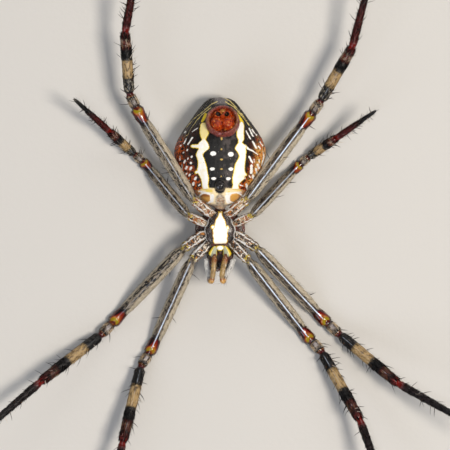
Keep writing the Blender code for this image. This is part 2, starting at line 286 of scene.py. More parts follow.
def ribbon(plan, rows):
    """Signed distance in plan to a stripe given by rows of place along Y, middle and half width."""
    rows = sorted(rows)
    middle_width = at(rows, plan[..., 1])
    apart = np.abs(plan[..., 0] - middle_width[..., 0]) - middle_width[..., 1]
    past = np.maximum(rows[0][0] - plan[..., 1], plan[..., 1] - rows[-1][0])
    return np.where(past > 0, np.hypot(np.maximum(apart, 0), past), apart)


def square_to(heading, other):
    """Two directions at right angles to a heading and to each other, the first also to the other one."""
    across = unit(np.cross(heading, other))
    return across, np.cross(heading, across)


def nearest(*distances):
    """The smallest of several distances, place by place."""
    return np.minimum.reduce(np.broadcast_arrays(*distances))


# ---------------------------------------------------------------- surfaces


class Surface:
    """A closed form as a grid of points in mm: rows run along it and columns around it."""

    def __init__(self, points, **fields):
        self.points = np.asarray(points, float)
        self.fields = dict(fields)
        self.refresh()

    def refresh(self):
        """Works out the normals and the direction along, after the points have changed."""
        around = np.roll(self.points, -1, axis=1) - np.roll(self.points, 1, axis=1)
        self.along = np.gradient(self.points, axis=0)
        self.normals = unit(np.cross(around, self.along))
        outwards = self.points - self.points.mean(axis=1, keepdims=True)
        self.flipped = (self.normals * outwards).sum() < 0
        if self.flipped:
            self.normals = -self.normals
        self.along = unit(self.along)

    def push(self, depth):
        """Moves the points outwards along the normals by a depth in mm, one for all or one each."""
        self.points = self.points + self.normals * np.broadcast_to(depth, self.normals.shape[:2])[..., None]
        self.refresh()

    def at(self, values, rows, columns):
        """Values of a grid at places given as row and column numbers with fractions."""
        i = np.clip(rows.astype(int), 0, len(values) - 2)
        j = columns.astype(int) % values.shape[1]
        k = (j + 1) % values.shape[1]
        s, t = rows - i, columns - np.floor(columns)
        if values.ndim == 3:
            s, t = s[:, None], t[:, None]
        near = values[i, j] * (1 - t) + values[i, k] * t
        far = values[i + 1, j] * (1 - t) + values[i + 1, k] * t
        return near * (1 - s) + far * s

    def roots(self, count, rng, density=None):
        """Random places on the surface, even by area or by a density, with all that a hair needs there."""
        p = self.points
        nxt = np.roll(p, -1, axis=1)
        area = np.linalg.norm(np.cross(p[1:] - p[:-1], nxt[:-1] - p[:-1]), axis=-1)
        if density is not None:
            area = area * np.maximum(density[:-1], 0)
        total = np.cumsum(area.ravel())
        chosen = np.searchsorted(total, rng.random(count) * total[-1])
        rows = chosen // area.shape[1] + rng.random(count)
        columns = chosen % area.shape[1] + rng.random(count)
        found = {name: self.at(values, rows, columns) for name, values in self.fields.items()}
        found["point"] = self.at(p, rows, columns)
        found["normal"] = unit(self.at(self.normals, rows, columns))
        found["along"] = unit(self.at(self.along, rows, columns))
        found["uv"] = np.stack([columns / p.shape[1], uv_row(rows, len(p))], axis=1)
        return found


def with_place(form, **fields):
    """Notes where a form's points lie, for its patterns, and any other fields."""
    form.fields.update(place=form.points.copy(), **fields)
    return form


UV_EDGE = 0.03  # left free at both ends of a form's unwrap for its end caps
TUFT_PATCH = 0.0015  # half the width of one hair's patch on the unwrap
PATCH_EDGE = 0.004  # how near the middle of a patch comes to the unwrap's edge
HAIR_FLOOR = 0.03  # the lowest that a hair reaches, in mm above the floor
ROOT_DEPTH = 0.02  # how far a hair's root is sunk into the skin


def uv_row(row, rows):
    """How far up the unwrap a row lies."""
    return UV_EDGE + (1 - 2 * UV_EDGE) * row / (rows - 1)


def new_piece(name, points, corners, starts, uvs, fields, material, nodes):
    """Makes a mesh piece from arrays, in the shared frame, puts it in the root body and hides the nodes it
    replaces.
    """
    mesh = bpy.data.meshes.new(name)
    mesh.vertices.add(len(points))
    mesh.vertices.foreach_set("co", ((points + BODY_ORIGIN) * MM).astype(np.float32).ravel())
    mesh.loops.add(len(corners))
    mesh.loops.foreach_set("vertex_index", corners.astype(np.int32))
    mesh.polygons.add(len(starts))
    mesh.polygons.foreach_set("loop_start", starts.astype(np.int32))
    mesh.update(calc_edges=True)
    layer = mesh.uv_layers.new(name="OFBake")
    layer.uv.foreach_set("vector", uvs.astype(np.float32).ravel())
    for field, values in fields.items():
        kind = "FLOAT_VECTOR" if values.ndim == 2 else "FLOAT"
        made = mesh.attributes.new(field, kind, "POINT")
        made.data.foreach_set("vector" if values.ndim == 2 else "value", values.astype(np.float32).ravel())
    mesh.materials.append(material)
    mesh.shade_smooth()
    obj = bpy.data.objects.new(name, mesh)
    bpy.context.scene.collection.objects.link(obj)
    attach(obj, "root")
    if nodes:
        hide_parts(*nodes)
    return obj


def skin_piece(name, surface, material, nodes=()):
    """A closed mesh of a surface's grid, with both ends drawn together."""
    rows, columns = surface.points.shape[:2]
    points = surface.points.reshape(-1, 3)
    ends = surface.points[[0, -1]].mean(axis=1)
    points = np.concatenate([points, ends])
    i, j = np.meshgrid(np.arange(rows - 1), np.arange(columns), indexing="ij")
    i, j = i.ravel(), j.ravel()
    k = (j + 1) % columns
    quads = np.stack([i * columns + j, i * columns + k, (i + 1) * columns + k, (i + 1) * columns + j], axis=1)
    near, far = uv_row(i, rows), uv_row(i + 1, rows)
    quad_uv = np.stack([j, near, j + 1, near, j + 1, far, j, far], axis=1).reshape(-1, 4, 2)
    quad_uv[..., 0] /= columns
    ring = np.arange(columns)
    after = (ring + 1) % columns
    last = (rows - 1) * columns
    low = np.stack([np.full(columns, rows * columns), after, ring], axis=1)
    high = np.stack([np.full(columns, rows * columns + 1), last + ring, last + after], axis=1)
    middle = (ring + 0.5) / columns
    left, right = ring / columns, (ring + 1) / columns
    flat = np.full(columns, UV_EDGE)
    low_uv = np.stack([middle, flat * 0.1, right, flat, left, flat], axis=1).reshape(-1, 3, 2)
    high_uv = np.stack([middle, 1 - flat * 0.1, left, 1 - flat, right, 1 - flat], axis=1).reshape(-1, 3, 2)
    tris, tri_uv = np.concatenate([low, high]), np.concatenate([low_uv, high_uv])
    if surface.flipped:
        quads, quad_uv, tris, tri_uv = (rows_of[:, ::-1] for rows_of in (quads, quad_uv, tris, tri_uv))
    corners = np.concatenate([quads.ravel(), tris.ravel()])
    starts = np.concatenate([np.arange(len(quads)) * 4, len(quads) * 4 + np.arange(len(tris)) * 3])
    uvs = np.concatenate([quad_uv.reshape(-1, 2), tri_uv.reshape(-1, 2)])
    fields = {}
    for field, values in surface.fields.items():
        tips = values[[0, -1]].mean(axis=1)
        fields[field] = np.concatenate([values.reshape(-1, *values.shape[2:]), tips])
    return new_piece(name, points, corners, starts, uvs, fields, material, nodes)


def hair_piece(name, roots, material, slot, stations=(0.0, 0.55), flat=0.5, keep=("place", "tint")):
    """One joined mesh of tapering three-sided hairs, each a patch of the unwrap at its root's place.

    roots holds point, normal, heading, length, width, droop and uv for each hair. Hairs that would
    reach through the floor are left out.
    """
    tips = roots["point"] + roots["heading"] * roots["length"][:, None]
    kept = (tips[:, 2] > HAIR_FLOOR) & (roots["point"][:, 2] > HAIR_FLOOR)
    roots = {key: values[kept] for key, values in roots.items()}
    count = len(roots["point"])
    across = unit(np.cross(roots["heading"], roots["normal"]))
    over = np.cross(roots["heading"], across)
    steps = np.array([*stations, 1.0])
    length, normal = roots["length"][:, None, None], roots["normal"][:, None]
    fall = roots["droop"][:, None, None] * length * steps[:, None] ** 2
    lines = (
        roots["point"][:, None] + roots["heading"][:, None] * (length * steps[:, None])
        - normal * ROOT_DEPTH - normal * fall
    )
    half = roots["width"][:, None] / 2 * (1 - steps[:-1]) ** 0.6
    turns = around(3) + math.pi / 6
    cos, sin = np.cos(turns)[:, None], np.sin(turns)[:, None]
    ring = across[:, None, None] * cos + over[:, None, None] * (sin * flat)
    rings = lines[:, :-1, None] + ring * half[:, :, None, None]
    per = len(stations) * 3 + 1
    points = np.concatenate([rings.reshape(count, -1, 3), lines[:, -1:]], axis=1).reshape(-1, 3)
    patch_sizes = TUFT_PATCH * (1 - 0.75 * np.repeat(stations, 3))[:, None]
    patch = np.tile(np.hstack([cos, sin]), (len(stations), 1)) * patch_sizes
    patch = np.append(patch, [[0.0, 0.0]], axis=0)
    faces = []
    for station in range(len(stations) - 1):
        for side in range(3):
            a, b = station * 3 + side, station * 3 + (side + 1) % 3
            faces += [(a, b, b + 3), (a, b + 3, a + 3)]
    last = (len(stations) - 1) * 3
    faces += [(last + side, last + (side + 1) % 3, per - 1) for side in range(3)]
    faces = np.array(faces)
    corners = (faces[None] + (np.arange(count) * per)[:, None, None]).ravel()
    middles = np.clip(roots["uv"], PATCH_EDGE, 1 - PATCH_EDGE)
    uvs = (middles[:, None, None] + patch[faces]).reshape(-1, 2)
    starts = np.arange(count * len(faces)) * 3
    fields = {"reach": np.tile(np.append(np.repeat(stations, 3), 1.0), count)}
    for field in keep:
        fields[field] = np.repeat(roots[field], per, axis=0)
    return new_piece(name, points, corners, starts, uvs, fields, material, ())


def laid(roots, rng, length, lift, stray, width, droop=0.12):
    """Gives each root a heading along the form, lifted off it by an angle in degrees, and its sizes in mm."""
    count = len(roots["point"])
    angle = np.radians(lift) * rng.uniform(0.6, 1.4, count)
    sideways = np.cross(roots["along"], roots["normal"])
    lie = unit(roots["along"] + sideways * rng.normal(0, stray, count)[:, None])
    roots["heading"] = unit(lie * np.cos(angle)[:, None] + roots["normal"] * np.sin(angle)[:, None])
    roots["length"] = length * rng.uniform(0.7, 1.25, count)
    roots["width"] = width * rng.uniform(0.7, 1.2, count)
    roots["droop"] = droop * np.sin(angle) * 2
    roots["tint"] = rng.random(count)
    return roots


def grow(name, form, rng, count, density, cut, material, slot, *shape):
    """Grows hairs on a form. Their cut is length, lift in degrees, stray and width, as laid takes them."""
    hair_piece(name, laid(form.roots(count, rng, density), rng, *cut), material, slot, *shape)


def ball(rows, columns, opening):
    """Points of a ball of radius 1 from its top to its bottom, left open there by a small angle."""
    rise, turn = np.linspace(opening, math.pi - opening, rows)[:, None], around(columns)
    wide = np.sin(rise)
    return np.stack([wide * np.sin(turn), wide * np.cos(turn), np.cos(rise) + 0 * turn], axis=-1)


def tube(centres, radii, columns):
    """A surface around a line of centres. Column 0 faces the belly side, and the turn runs to +X first."""
    centres = np.asarray(centres, float)
    heading = unit(np.gradient(centres, axis=0))
    belly = np.array([0.0, 0.0, 1.0]) - heading * heading[:, 2:3]
    belly = unit(np.where(np.linalg.norm(belly, axis=1, keepdims=True) > 0.05, belly, [0.0, 1.0, 0.0]))
    flank = np.cross(heading, belly)
    flank = flank * np.where(flank[:, :1] < 0, -1.0, 1.0)
    turn = around(columns)
    ring = belly[:, None] * np.cos(turn)[:, None] + flank[:, None] * np.sin(turn)[:, None]
    return Surface(centres[:, None] + ring * radii[:, None, None]), turn


def evenly(points, places, gap):
    """Resamples a line at even gaps. Returns the points, their places and their distance along."""
    rows = np.column_stack([places, points])
    fine = np.linspace(places[0], places[-1], 3000)
    line = at(rows, fine)
    run = np.append(0.0, np.cumsum(np.linalg.norm(np.diff(line, axis=0), axis=1)))
    wanted = np.linspace(0, run[-1], max(int(run[-1] / gap), 8))
    place = np.interp(wanted, run, fine)
    return at(rows, place), place, wanted


END_SHARE = 0.012  # the share of a body form's length over which each end is rounded off


def body_form(rows, widest, columns, length_rows, square=1.0):
    """A rounded form drawn out along Y to a table of stations. square under 1 flattens its faces."""
    rows = np.asarray(rows, float)
    turn = (1 - np.cos(np.linspace(0.04, math.pi - 0.04, length_rows))) / 2
    share = 0.55 * turn + 0.45 * np.linspace(0.001, 0.999, length_rows)
    y = rows[0, 0] + (rows[-1, 0] - rows[0, 0]) * share
    half_width, low, high = at(rows, y).T
    close = np.sqrt(np.clip(share / END_SHARE, 0, 1)) * np.sqrt(np.clip((1 - share) / END_SHARE, 0, 1))
    half_width = half_width * close
    middle = low + (high - low) * widest
    turn = around(columns)
    up, side = [np.sign(wave) * np.abs(wave) ** square for wave in (np.cos(turn), np.sin(turn))]
    reach = np.where(up > 0, (high - middle)[:, None], (middle - low)[:, None]) * close[:, None]
    x = side * half_width[:, None]
    z = middle[:, None] + up * reach
    grid = np.stack([x, spread(y[:, None], x.shape), z], axis=-1)
    return Surface(grid, belly=spread(up, x.shape), share=spread(share[:, None], x.shape))


def cad_line(name, count):
    """Centres of a limb's solid, cut across at even places along it, in body coordinates."""
    mesh = frame["nodes"][name].data
    points = np.empty(len(mesh.vertices) * 3)
    mesh.vertices.foreach_get("co", points)
    points = points.reshape(-1, 3) / MM - BODY_ORIGIN
    ends = np.empty(len(mesh.edges) * 2, int)
    mesh.edges.foreach_get("vertices", ends)
    ends = ends.reshape(-1, 2)
    middle = points.mean(axis=0)
    axis = np.linalg.svd(points - middle, full_matrices=False)[2][0]
    place = (points - middle) @ axis
    centres = []
    for share in np.linspace(0.04, 0.96, count):
        station = place.min() + (place.max() - place.min()) * share
        first, second = place[ends[:, 0]] - station, place[ends[:, 1]] - station
        crossing = first * second < 0
        t = (first / (first - second))[crossing, None]
        hits = points[ends[crossing, 0]] * (1 - t) + points[ends[crossing, 1]] * t
        # Points on the flat where the solid rests would pull the circle off its middle.
        clear = hits[hits[:, 2] > 0.02]
        hits = clear if len(clear) > 5 else hits
        across = unit(np.cross(axis, [0, 0, 1.0]))
        over = np.cross(axis, across)
        a, b = (hits - middle) @ across, (hits - middle) @ over
        circle = np.column_stack([2 * a, 2 * b, np.ones(len(a))])
        fit = np.linalg.lstsq(circle, a * a + b * b, rcond=None)[0]
        centres.append(middle + axis * station + across * fit[0] + over * fit[1])
    return np.array(centres)


# ---------------------------------------------------------------- materials


class Finish:
    """A material being made: its node tree, its shader's sockets and the place that patterns are drawn in.

    A value is a number, a socket, the name of a mesh's field, or (value, low, high), which is a mask that
    runs smoothly from 0 at low to 1 at high.
    """

    def __init__(self, name, roughness, **sockets):
        self.material = bpy.data.materials.new(name)
        self.material.use_nodes = True
        self.tree = self.material.node_tree
        self.shader = self.tree.nodes["Principled BSDF"].inputs
        self.shader["Roughness"].default_value = roughness
        for socket, value in sockets.items():
            self.shader[socket.replace("_", " ")].default_value = value
        self.place = self.add("Attribute", take="Vector", attribute_name="place")

    def add(self, kind, links=None, stops=(), take=None, **settings):
        """Adds a shader node with its settings, sets or links its inputs, and returns an output."""
        made = self.tree.nodes.new("ShaderNode" + kind)
        for name, value in settings.items():
            setattr(made, name, value)
        for number, (place, key) in enumerate(stops):
            marks = made.color_ramp.elements
            mark = marks[number] if number < 2 else marks.new(place)
            mark.position = place
            mark.color = colour(key)
        for name, value in (links or {}).items():
            if isinstance(value, bpy.types.NodeSocket):
                self.tree.links.new(value, made.inputs[name])
            else:
                made.inputs[name].default_value = value
        return made.outputs[take] if take else next(out for out in made.outputs if out.enabled)

    def value(self, value):
        """What a value stands for, as a number or a socket."""
        if isinstance(value, str):
            return self.add("Attribute", take="Fac", attribute_name=value)
        if isinstance(value, tuple):
            inputs = {0: self.value(value[0]), 1: value[1], 2: value[2]}
            return self.add("MapRange", inputs, interpolation_type="SMOOTHSTEP")
        return value

    def mask(self, *factors):
        """The product of some values."""
        made = self.value(factors[0])
        for factor in factors[1:]:
            made = self.add("Math", {0: made, 1: self.value(factor)}, operation="MULTIPLY")
        return made

    def total(self, made, *terms):
        """A first value and some terms added up, each term a pair of a value and its weight."""
        for value, weight in terms:
            inputs = {0: self.value(value), 1: weight, 2: made}
            made = self.add("Math", inputs, operation="MULTIPLY_ADD")
        return made

    def apart(self, *total):
        """How far such a total is from 0, on either side."""
        return self.add("Math", {0: self.total(*total)}, operation="ABSOLUTE")

    def grain(self, size, stretch=(1, 1, 1), detail=2.0):
        """Fractal lumps of a size in mm, drawn out along the axes whose stretch is under 1."""
        scale = tuple(way / size for way in stretch)
        scaled = self.add("VectorMath", {0: self.place, 1: scale}, operation="MULTIPLY")
        return self.add("TexNoise", {"Vector": scaled, "Scale": 1.0, "Detail": detail, "Roughness": 0.55})

    def over(self, base, coats):
        """Lays coats over a base. Each is a colour and the values whose product says where it shows."""
        base = colour(base)
        for coat, *factors in coats:
            base = self.add("Mix", {0: self.mask(*factors), 6: base, 7: colour(coat)}, data_type="RGBA")
        return base

    def done(self, base, height=None, depth=0.0, rough=None):
        """The material, with its colour, a height pattern of a depth in mm and its roughness joined up."""
        self.tree.links.new(base, self.shader["Base Color"])
        if height is not None:
            normal = self.add("Bump", {"Height": height, "Distance": depth * MM, "Strength": 1.0})
            self.tree.links.new(normal, self.shader["Normal"])
        if rough is not None:
            self.tree.links.new(rough, self.shader["Roughness"])
        return self.material


# Bands along a leg: segment number and share of it, and colour. 0 coxa, 1 femur, 2 patella, 3 tibia,
# 4 metatarsus and tarsus.
LEG_BANDS = (
    (0.00, "black"), (0.60, "umber"), (0.78, "black"), (0.88, "umber"), (1.05, "femur_grey"),
    (1.83, "femur_grey"), (1.87, "black"), (2.38, "umber"), (2.44, "black"), (2.50, "tan"), (2.72, "tan"),
    (2.77, "umber"), (2.84, "black"), (2.91, "black"), (2.935, "amber"), (2.955, "black"), (2.985, "blood"),
    (3.02, "black"), (3.25, "black"), (3.27, "gold"), (3.53, "gold"), (3.555, "black"), (3.72, "black"),
    (3.74, "rust"), (3.86, "rust"), (3.88, "black"), (3.98, "scarlet"), (4.06, "blood"), (4.34, "blood"),
    (4.62, "black"),
)
KNEE_BANDS = (
    (1.86, "black"), (1.885, "black"), (1.90, "blood"), (1.94, "scarlet"), (1.99, "amber"), (2.04, "honey"),
    (2.13, "olive"), (2.225, "olive"), (2.25, "amber"), (2.27, "blood"), (2.285, "black"), (2.31, "blood"),
    (2.355, "blood"), (2.375, "black"), (2.41, "black"),
)
COAT_BANDS = (
    (0.00, "tan"), (0.70, "ash"), (0.82, "moss"), (0.92, "tan"), (1.02, "ash"), (1.85, "ash"), (1.95, "tan"),
    (2.36, "black"), (2.46, "black"), (2.50, "ash"), (2.72, "ash"), (2.80, "umber"), (2.90, "honey"),
    (2.98, "amber"), (3.03, "black"), (3.25, "black"), (3.27, "gold"), (3.53, "gold"), (3.555, "black"),
    (3.72, "black"), (3.745, "tan"), (3.86, "rust"), (3.88, "black"), (4.00, "scarlet"), (4.08, "blood"),
    (4.36, "blood"), (4.65, "black"),
)
# Clumps of black hairs and their roots, in mm. Single hairs stand 0.03 mm apart, which is too fine to
# show, so that one speck stands for a clump of them.
SPECK_SIZE = 0.14
SPECK_STRETCH = (0.34, 1, 1)


def shared(maker, *inputs):
    """A material that several steps use, made when the first of them asks for it."""
    key = (maker.__name__, *inputs)
    if key not in MADE:
        MADE[key] = maker(*inputs)
    return MADE[key]


def leg_ramp(look, place, bands):
    """The colours of a leg's bands at a place that runs from 0 to 1 along the whole leg."""
    return look.add("ValToRGB", {0: place}, [(mark / len(SEGMENTS), key) for mark, key in bands])


def femur_specks(look, along):
    """Where the dark specks of the coxae and femora lie, thicker in some patches than in others."""
    specks = look.grain(SPECK_SIZE, SPECK_STRETCH, 3.0)
    patches = look.total(-0.15, (specks, 1.0), (look.grain(0.9, (0.5, 1, 1)), 0.30))
    return look.mask((patches, 0.51, 0.535), (along, 0.9, 1.0), (along, 2.46, 2.36))


def gilt_flecks(look, along):
    """Where the brown flecks in the tibia's golden band lie."""
    flecks = look.grain(SPECK_SIZE, SPECK_STRETCH, 3.0)
    return look.mask((flecks, 0.53, 0.57), (along, 3.26, 3.30), (along, 3.56, 3.52), 0.7)


def leg_material():
    """Spider cuticle: chitin tanned in bands, satin like dull plastic, and wet-looking on the bare knees.

    The eye sees crisp colour bands, dark specks where hairs are rooted, silver curls on the coxae, painted
    highlights along the edges of the coxae and femora, a painted bluish-white highlight line along the belly
    side with painted shade beside it, and glassy red, orange and olive knees.
    """
    look = Finish("Chitin leg cuticle, tanned in bands", 0.42)
    along, off = look.value("bands"), look.value("off_mid")
    away = look.apart(0.0, (off, 1.0))
    edge = look.total(-0.003, (along, 0.2), (look.grain(0.4), 0.006))
    bowed = look.total(edge, (look.mask(off, off), -0.20), (off, 0.032))
    knee = look.over(leg_ramp(look, bowed, KNEE_BANDS), (
        ("amber", (look.grain(0.5), 0.50, 0.70), 0.45),
        ("blood", (away, 0.27, 0.46), 0.85),
    ))
    broken = look.grain(0.22, (0.6, 1, 1))
    # The coxae: tan and amber clouds, with curls of silver hair and a painted highlight outline along both
    # edges.
    trunk = look.value((along, 1.00, 0.90))
    warmth = look.mask(trunk, "warm")
    outline = look.apart(-0.45, (broken, 0.34), (away, 1.0))
    curls = look.apart(-0.53, (look.grain(0.60, detail=1.0), 1.0))
    # The femora: grey flanks, painted shade beside the painted highlight line, which narrows towards the
    # knee.
    femur = look.mask((along, 1.00, 1.08), (along, 1.95, 1.88))
    # The painted highlight line along the belly side, bluish-white, narrower towards the knee.
    narrow = look.add("MapRange", {0: along, 1: 1.90, 2: 2.13, 3: 0.066, 4: 0.030})
    past_line = look.add("Math", {0: away, 1: narrow}, operation="SUBTRACT")
    line = look.mask((past_line, 0.0, -0.028), "mid_line")
    shade = look.total(-0.10, (off, 1.0), (broken, 0.20))
    flank = look.total(off, (broken, 0.16))
    # The patellae: a lilac patch with a brown rim.
    ridge = look.apart(-0.12, (flank, 1.0))
    patch = look.value("patch")
    patch_rim = look.add("Math", {0: patch}, operation="CEIL")
    base = look.over(leg_ramp(look, edge, LEG_BANDS), (
        ("black", femur_specks(look, along)),
        ("umber", (ridge, 0.32, 0.24), patch_rim),
        ("lilac", (ridge, 0.18, 0.12), patch),
        ("tan", (look.grain(0.40), 0.42, 0.50), warmth),
        ("amber", (look.grain(0.30), 0.52, 0.58), warmth),
        ("ash", (look.grain(0.26), 0.57, 0.64), trunk),
        ("honey", (look.grain(0.24), 0.59, 0.64), trunk),
        ("silver", (curls, 0.034, 0.020), (look.grain(0.40), 0.50, 0.53), trunk),
        # Painted highlight of hairs catching the light along the coxae's edges.
        ("frost", (outline, 0.072, 0.042), (look.grain(0.33), 0.38, 0.44), trunk),
        ("moss", (look.grain(0.26), 0.54, 0.59), (along, 0.70, 0.80), (along, 1.03, 0.95)),
        # Painted highlights of hairs catching the light along both edges of the femora, wider on the +X side.
        ("ash", (flank, 0.29, 0.34), femur, 0.85),
        ("ash", (off, -0.40, -0.46), femur, 0.85),
        ("umber", gilt_flecks(look, along)),
        # Painted shade on both sides of the painted highlight line, wider on the -X side.
        ("umber", (shade, -0.32, -0.24), (off, 0.19, 0.12), femur, "mid_line", 0.80),
        ("black", "soot", 0.92),
        (knee, "knee"),
        # The painted highlight line, laid over all the rest.
        ("shine", line),
    ))
    gloss = look.add("Math", {0: look.value("bare"), 1: line}, operation="MAXIMUM")
    gloss = look.add("Math", {0: gloss, 1: look.mask(patch, 0.6)}, operation="MAXIMUM")
    rough = look.add("MapRange", {0: gloss, 3: 0.46, 4: 0.11})
    pores = look.mask(look.grain(0.07, (0.6, 1, 1), 3.0), look.total(1.0, (gloss, -1.0)))
    return look.done(base, pores, 0.03, rough)


def leg_hair_material():
    """Chitin hairs: hollow and flattened, silvery where they are full of air and black where tanned.

    The eye sees a close satin pile in the leg's own bands, with silver tips and a painted cream highlight on
    the edges.
    """
    look = Finish("Chitin flat hairs, leg coat", 0.6, Specular_IOR_Level=0.12)
    along, tint = look.value("bands"), look.value("tint")
    pale = look.add("Math", {0: look.value((along, 2.42, 2.38)), 1: 0.45}, operation="MAXIMUM")
    return look.done(look.over(leg_ramp(look, look.mask(along, 0.2), COAT_BANDS), (
        ("umber", (tint, 0.30, 0.22), 0.75),
        ("silver", (tint, 0.60, 0.70), 0.9, pale, (along, 3.55, 3.52)),
        # Painted highlight of the edge hairs, and the hind legs' pale hairs.
        ("cream", "lit", 0.65),
        ("black", femur_specks(look, along), 0.90),
        ("umber", gilt_flecks(look, along)),
        ("black", "dark"),
    )))


def spine_material():
    """Chitin spines and bristles: solid, tanned black and polished, some with a painted silver highlight.

    The eye sees black needles with a thin highlight, paler at the root.
    """
    look = Finish("Chitin spines, tanned black", 0.28)
    return look.done(look.over("black", (
        # Painted highlight: silver on the spines with the highest tint.
        ("silver", ("tint", 0.88, 0.90)),
        ("honey", ("reach", 0.15, 0.0), 0.5),
    )))


BELLY_FIELDS = (
    "stripe", "spots", "dots", "tail_lines", "dashes", "fore", "lungs", "yellow_patch", "white_patch",
    "gold_patch", "mottled",
)
# Bands across the back, from the waist to the tail end, as of this species.
BACK_BANDS = (
    (0.00, "frost"), (0.14, "frost"), (0.16, "black"), (0.18, "butter"), (0.27, "yellow"), (0.29, "rust"),
    (0.34, "black"), (0.36, "frost"), (0.40, "butter"), (0.46, "yellow"), (0.48, "rust"), (0.53, "black"),
    (0.55, "butter"), (0.62, "yellow"), (0.64, "black"), (0.70, "rust"), (0.72, "butter"), (0.78, "yellow"),
    (0.80, "black"), (0.87, "rust"), (0.89, "yellow"), (0.93, "black"),
)


def abdomen_material():
    """Abdomen skin: thin, soft cuticle over white guanine and yellow pigment, black tanned between.

    The eye sees enamel-white stripes with clear yellow edges on satin black with a painted grey sheen, a rust
    net on the sides, cream at the front and broad bands on the back.
    """
    look = Finish("Soft abdomen cuticle over pigment", 0.36, Specular_IOR_Level=0.3)
    frays = look.total(-0.065, (look.grain(0.11, detail=3.0), 0.13))
    edge = {name: look.total(frays, (name, 1.0)) for name in BELLY_FIELDS}
    net = look.value((look.apart(-0.5, (look.grain(0.46, detail=3.0), 1.0)), 0.062, 0.034))
    share = look.total(look.value("share"), (look.grain(0.9), 0.05))
    side_edge = look.total(-0.10, ("belly", 1.0), (look.grain(0.35), 0.20))
    core = look.value((edge["stripe"], -0.02, -0.06))
    front = look.value((edge["fore"], 0.05, -0.08))
    mottle = look.value((edge["mottled"], 0.1, -0.1))
    base = look.over("black", (
        # Painted sheen over the black middle field, mostly on its +X side.
        ("charcoal", (look.grain(0.45, (1, 0.7, 1), 3.0), 0.44, 0.62), "middle"),
        ("lilac", "tail", 0.55),
        ("rust", (look.grain(0.30, detail=3.0), 0.47, 0.55), "flank"),
        ("flame", net, "glow"),
        ("orange", (look.grain(0.2), 0.42, 0.50), "ember"),
        (look.add("ValToRGB", {0: share}, BACK_BANDS), (side_edge, -0.08, -0.26)),
        ("ivory", front),
        ("honey", front, "side_glow", 0.9),
        ("yellow", front, (edge["gold_patch"], 0.1, -0.1), 0.8),
        ("lilac", mottle, 0.65),
        ("umber", mottle, (look.grain(0.22, detail=3.0), 0.48, 0.60), 0.55),
        ("honey", (edge["mottled"], 0.0, -0.2), net, 0.45),
        ("pigment", (edge["lungs"], 0.16, 0.06)),
        ("orange", (edge["lungs"], 0.03, -0.04)),
        ("amber", (edge["lungs"], 0.0, -0.05), "lung_rim"),
        ("pigment", (edge["white_patch"], 0.03, -0.08)),
        ("butter", (edge["tail_lines"], 0.01, -0.02), 0.8),
        ("yellow", (edge["yellow_patch"], 0.02, -0.03)),
        ("pigment", (edge["dashes"], 0.02, -0.03)),
        ("sand", (edge["dots"], 0.03, -0.03), 0.9),
        ("yellow", (edge["stripe"], 0.04, 0.01)),
        ("pigment", core),
        ("butter", core, "buttery"),
        ("pigment", (edge["spots"], 0.02, -0.03)),
        ("butter", (look.grain(0.5), 0.50, 0.64), core, 0.25),
    ))
    # Skin cells and fine folds. The real ones are 0.01 to 0.05 mm wide, and are drawn coarser to show.
    folds = look.total(look.grain(0.18, (1, 0.5, 1)), (look.grain(0.05), 1.0))
    rough = look.add("MapRange", {0: look.grain(0.3), 3: 0.26, 4: 0.46})
    return look.done(base, folds, 0.035, rough)


# Plain hairs: name, pale colour, dark colour and the share of pale ones.
HAIRS = {
    "abdomen": ("Chitin fine hairs, abdomen", "silver", "black", 0.45),
    "spinnerets": ("Chitin bristles, spinnerets", "honey", "black", 0.55),
    "carapace": ("Chitin silver hairs, carapace", "frost", "tan", 0.82),
    "breastplate": ("Chitin fine hairs, breastplate", "frost", "black", 0.35),
    "mouth": ("Chitin brush hairs, mouth", "sage", "black", 0.4),
    "palp": ("Chitin flat hairs, palps", "pigment", "umber", 0.86),
    "palp_end": ("Chitin tan hairs, palps", "sand", "amber", 0.78),
}


def hair_material(key):
    """Chitin hairs of one sort: satin with a soft bloom, some pale and the rest dark, brown at the root."""
    name, pale, dark, share = HAIRS[key]
    look = Finish(name, 0.45, Sheen_Weight=0.2, Sheen_Roughness=0.4)
    return look.done(look.over(pale, (
        (dark, ("tint", share - 0.02, share + 0.02)),
        ("umber", ("reach", 0.3, 0.0), 0.4),
    )))


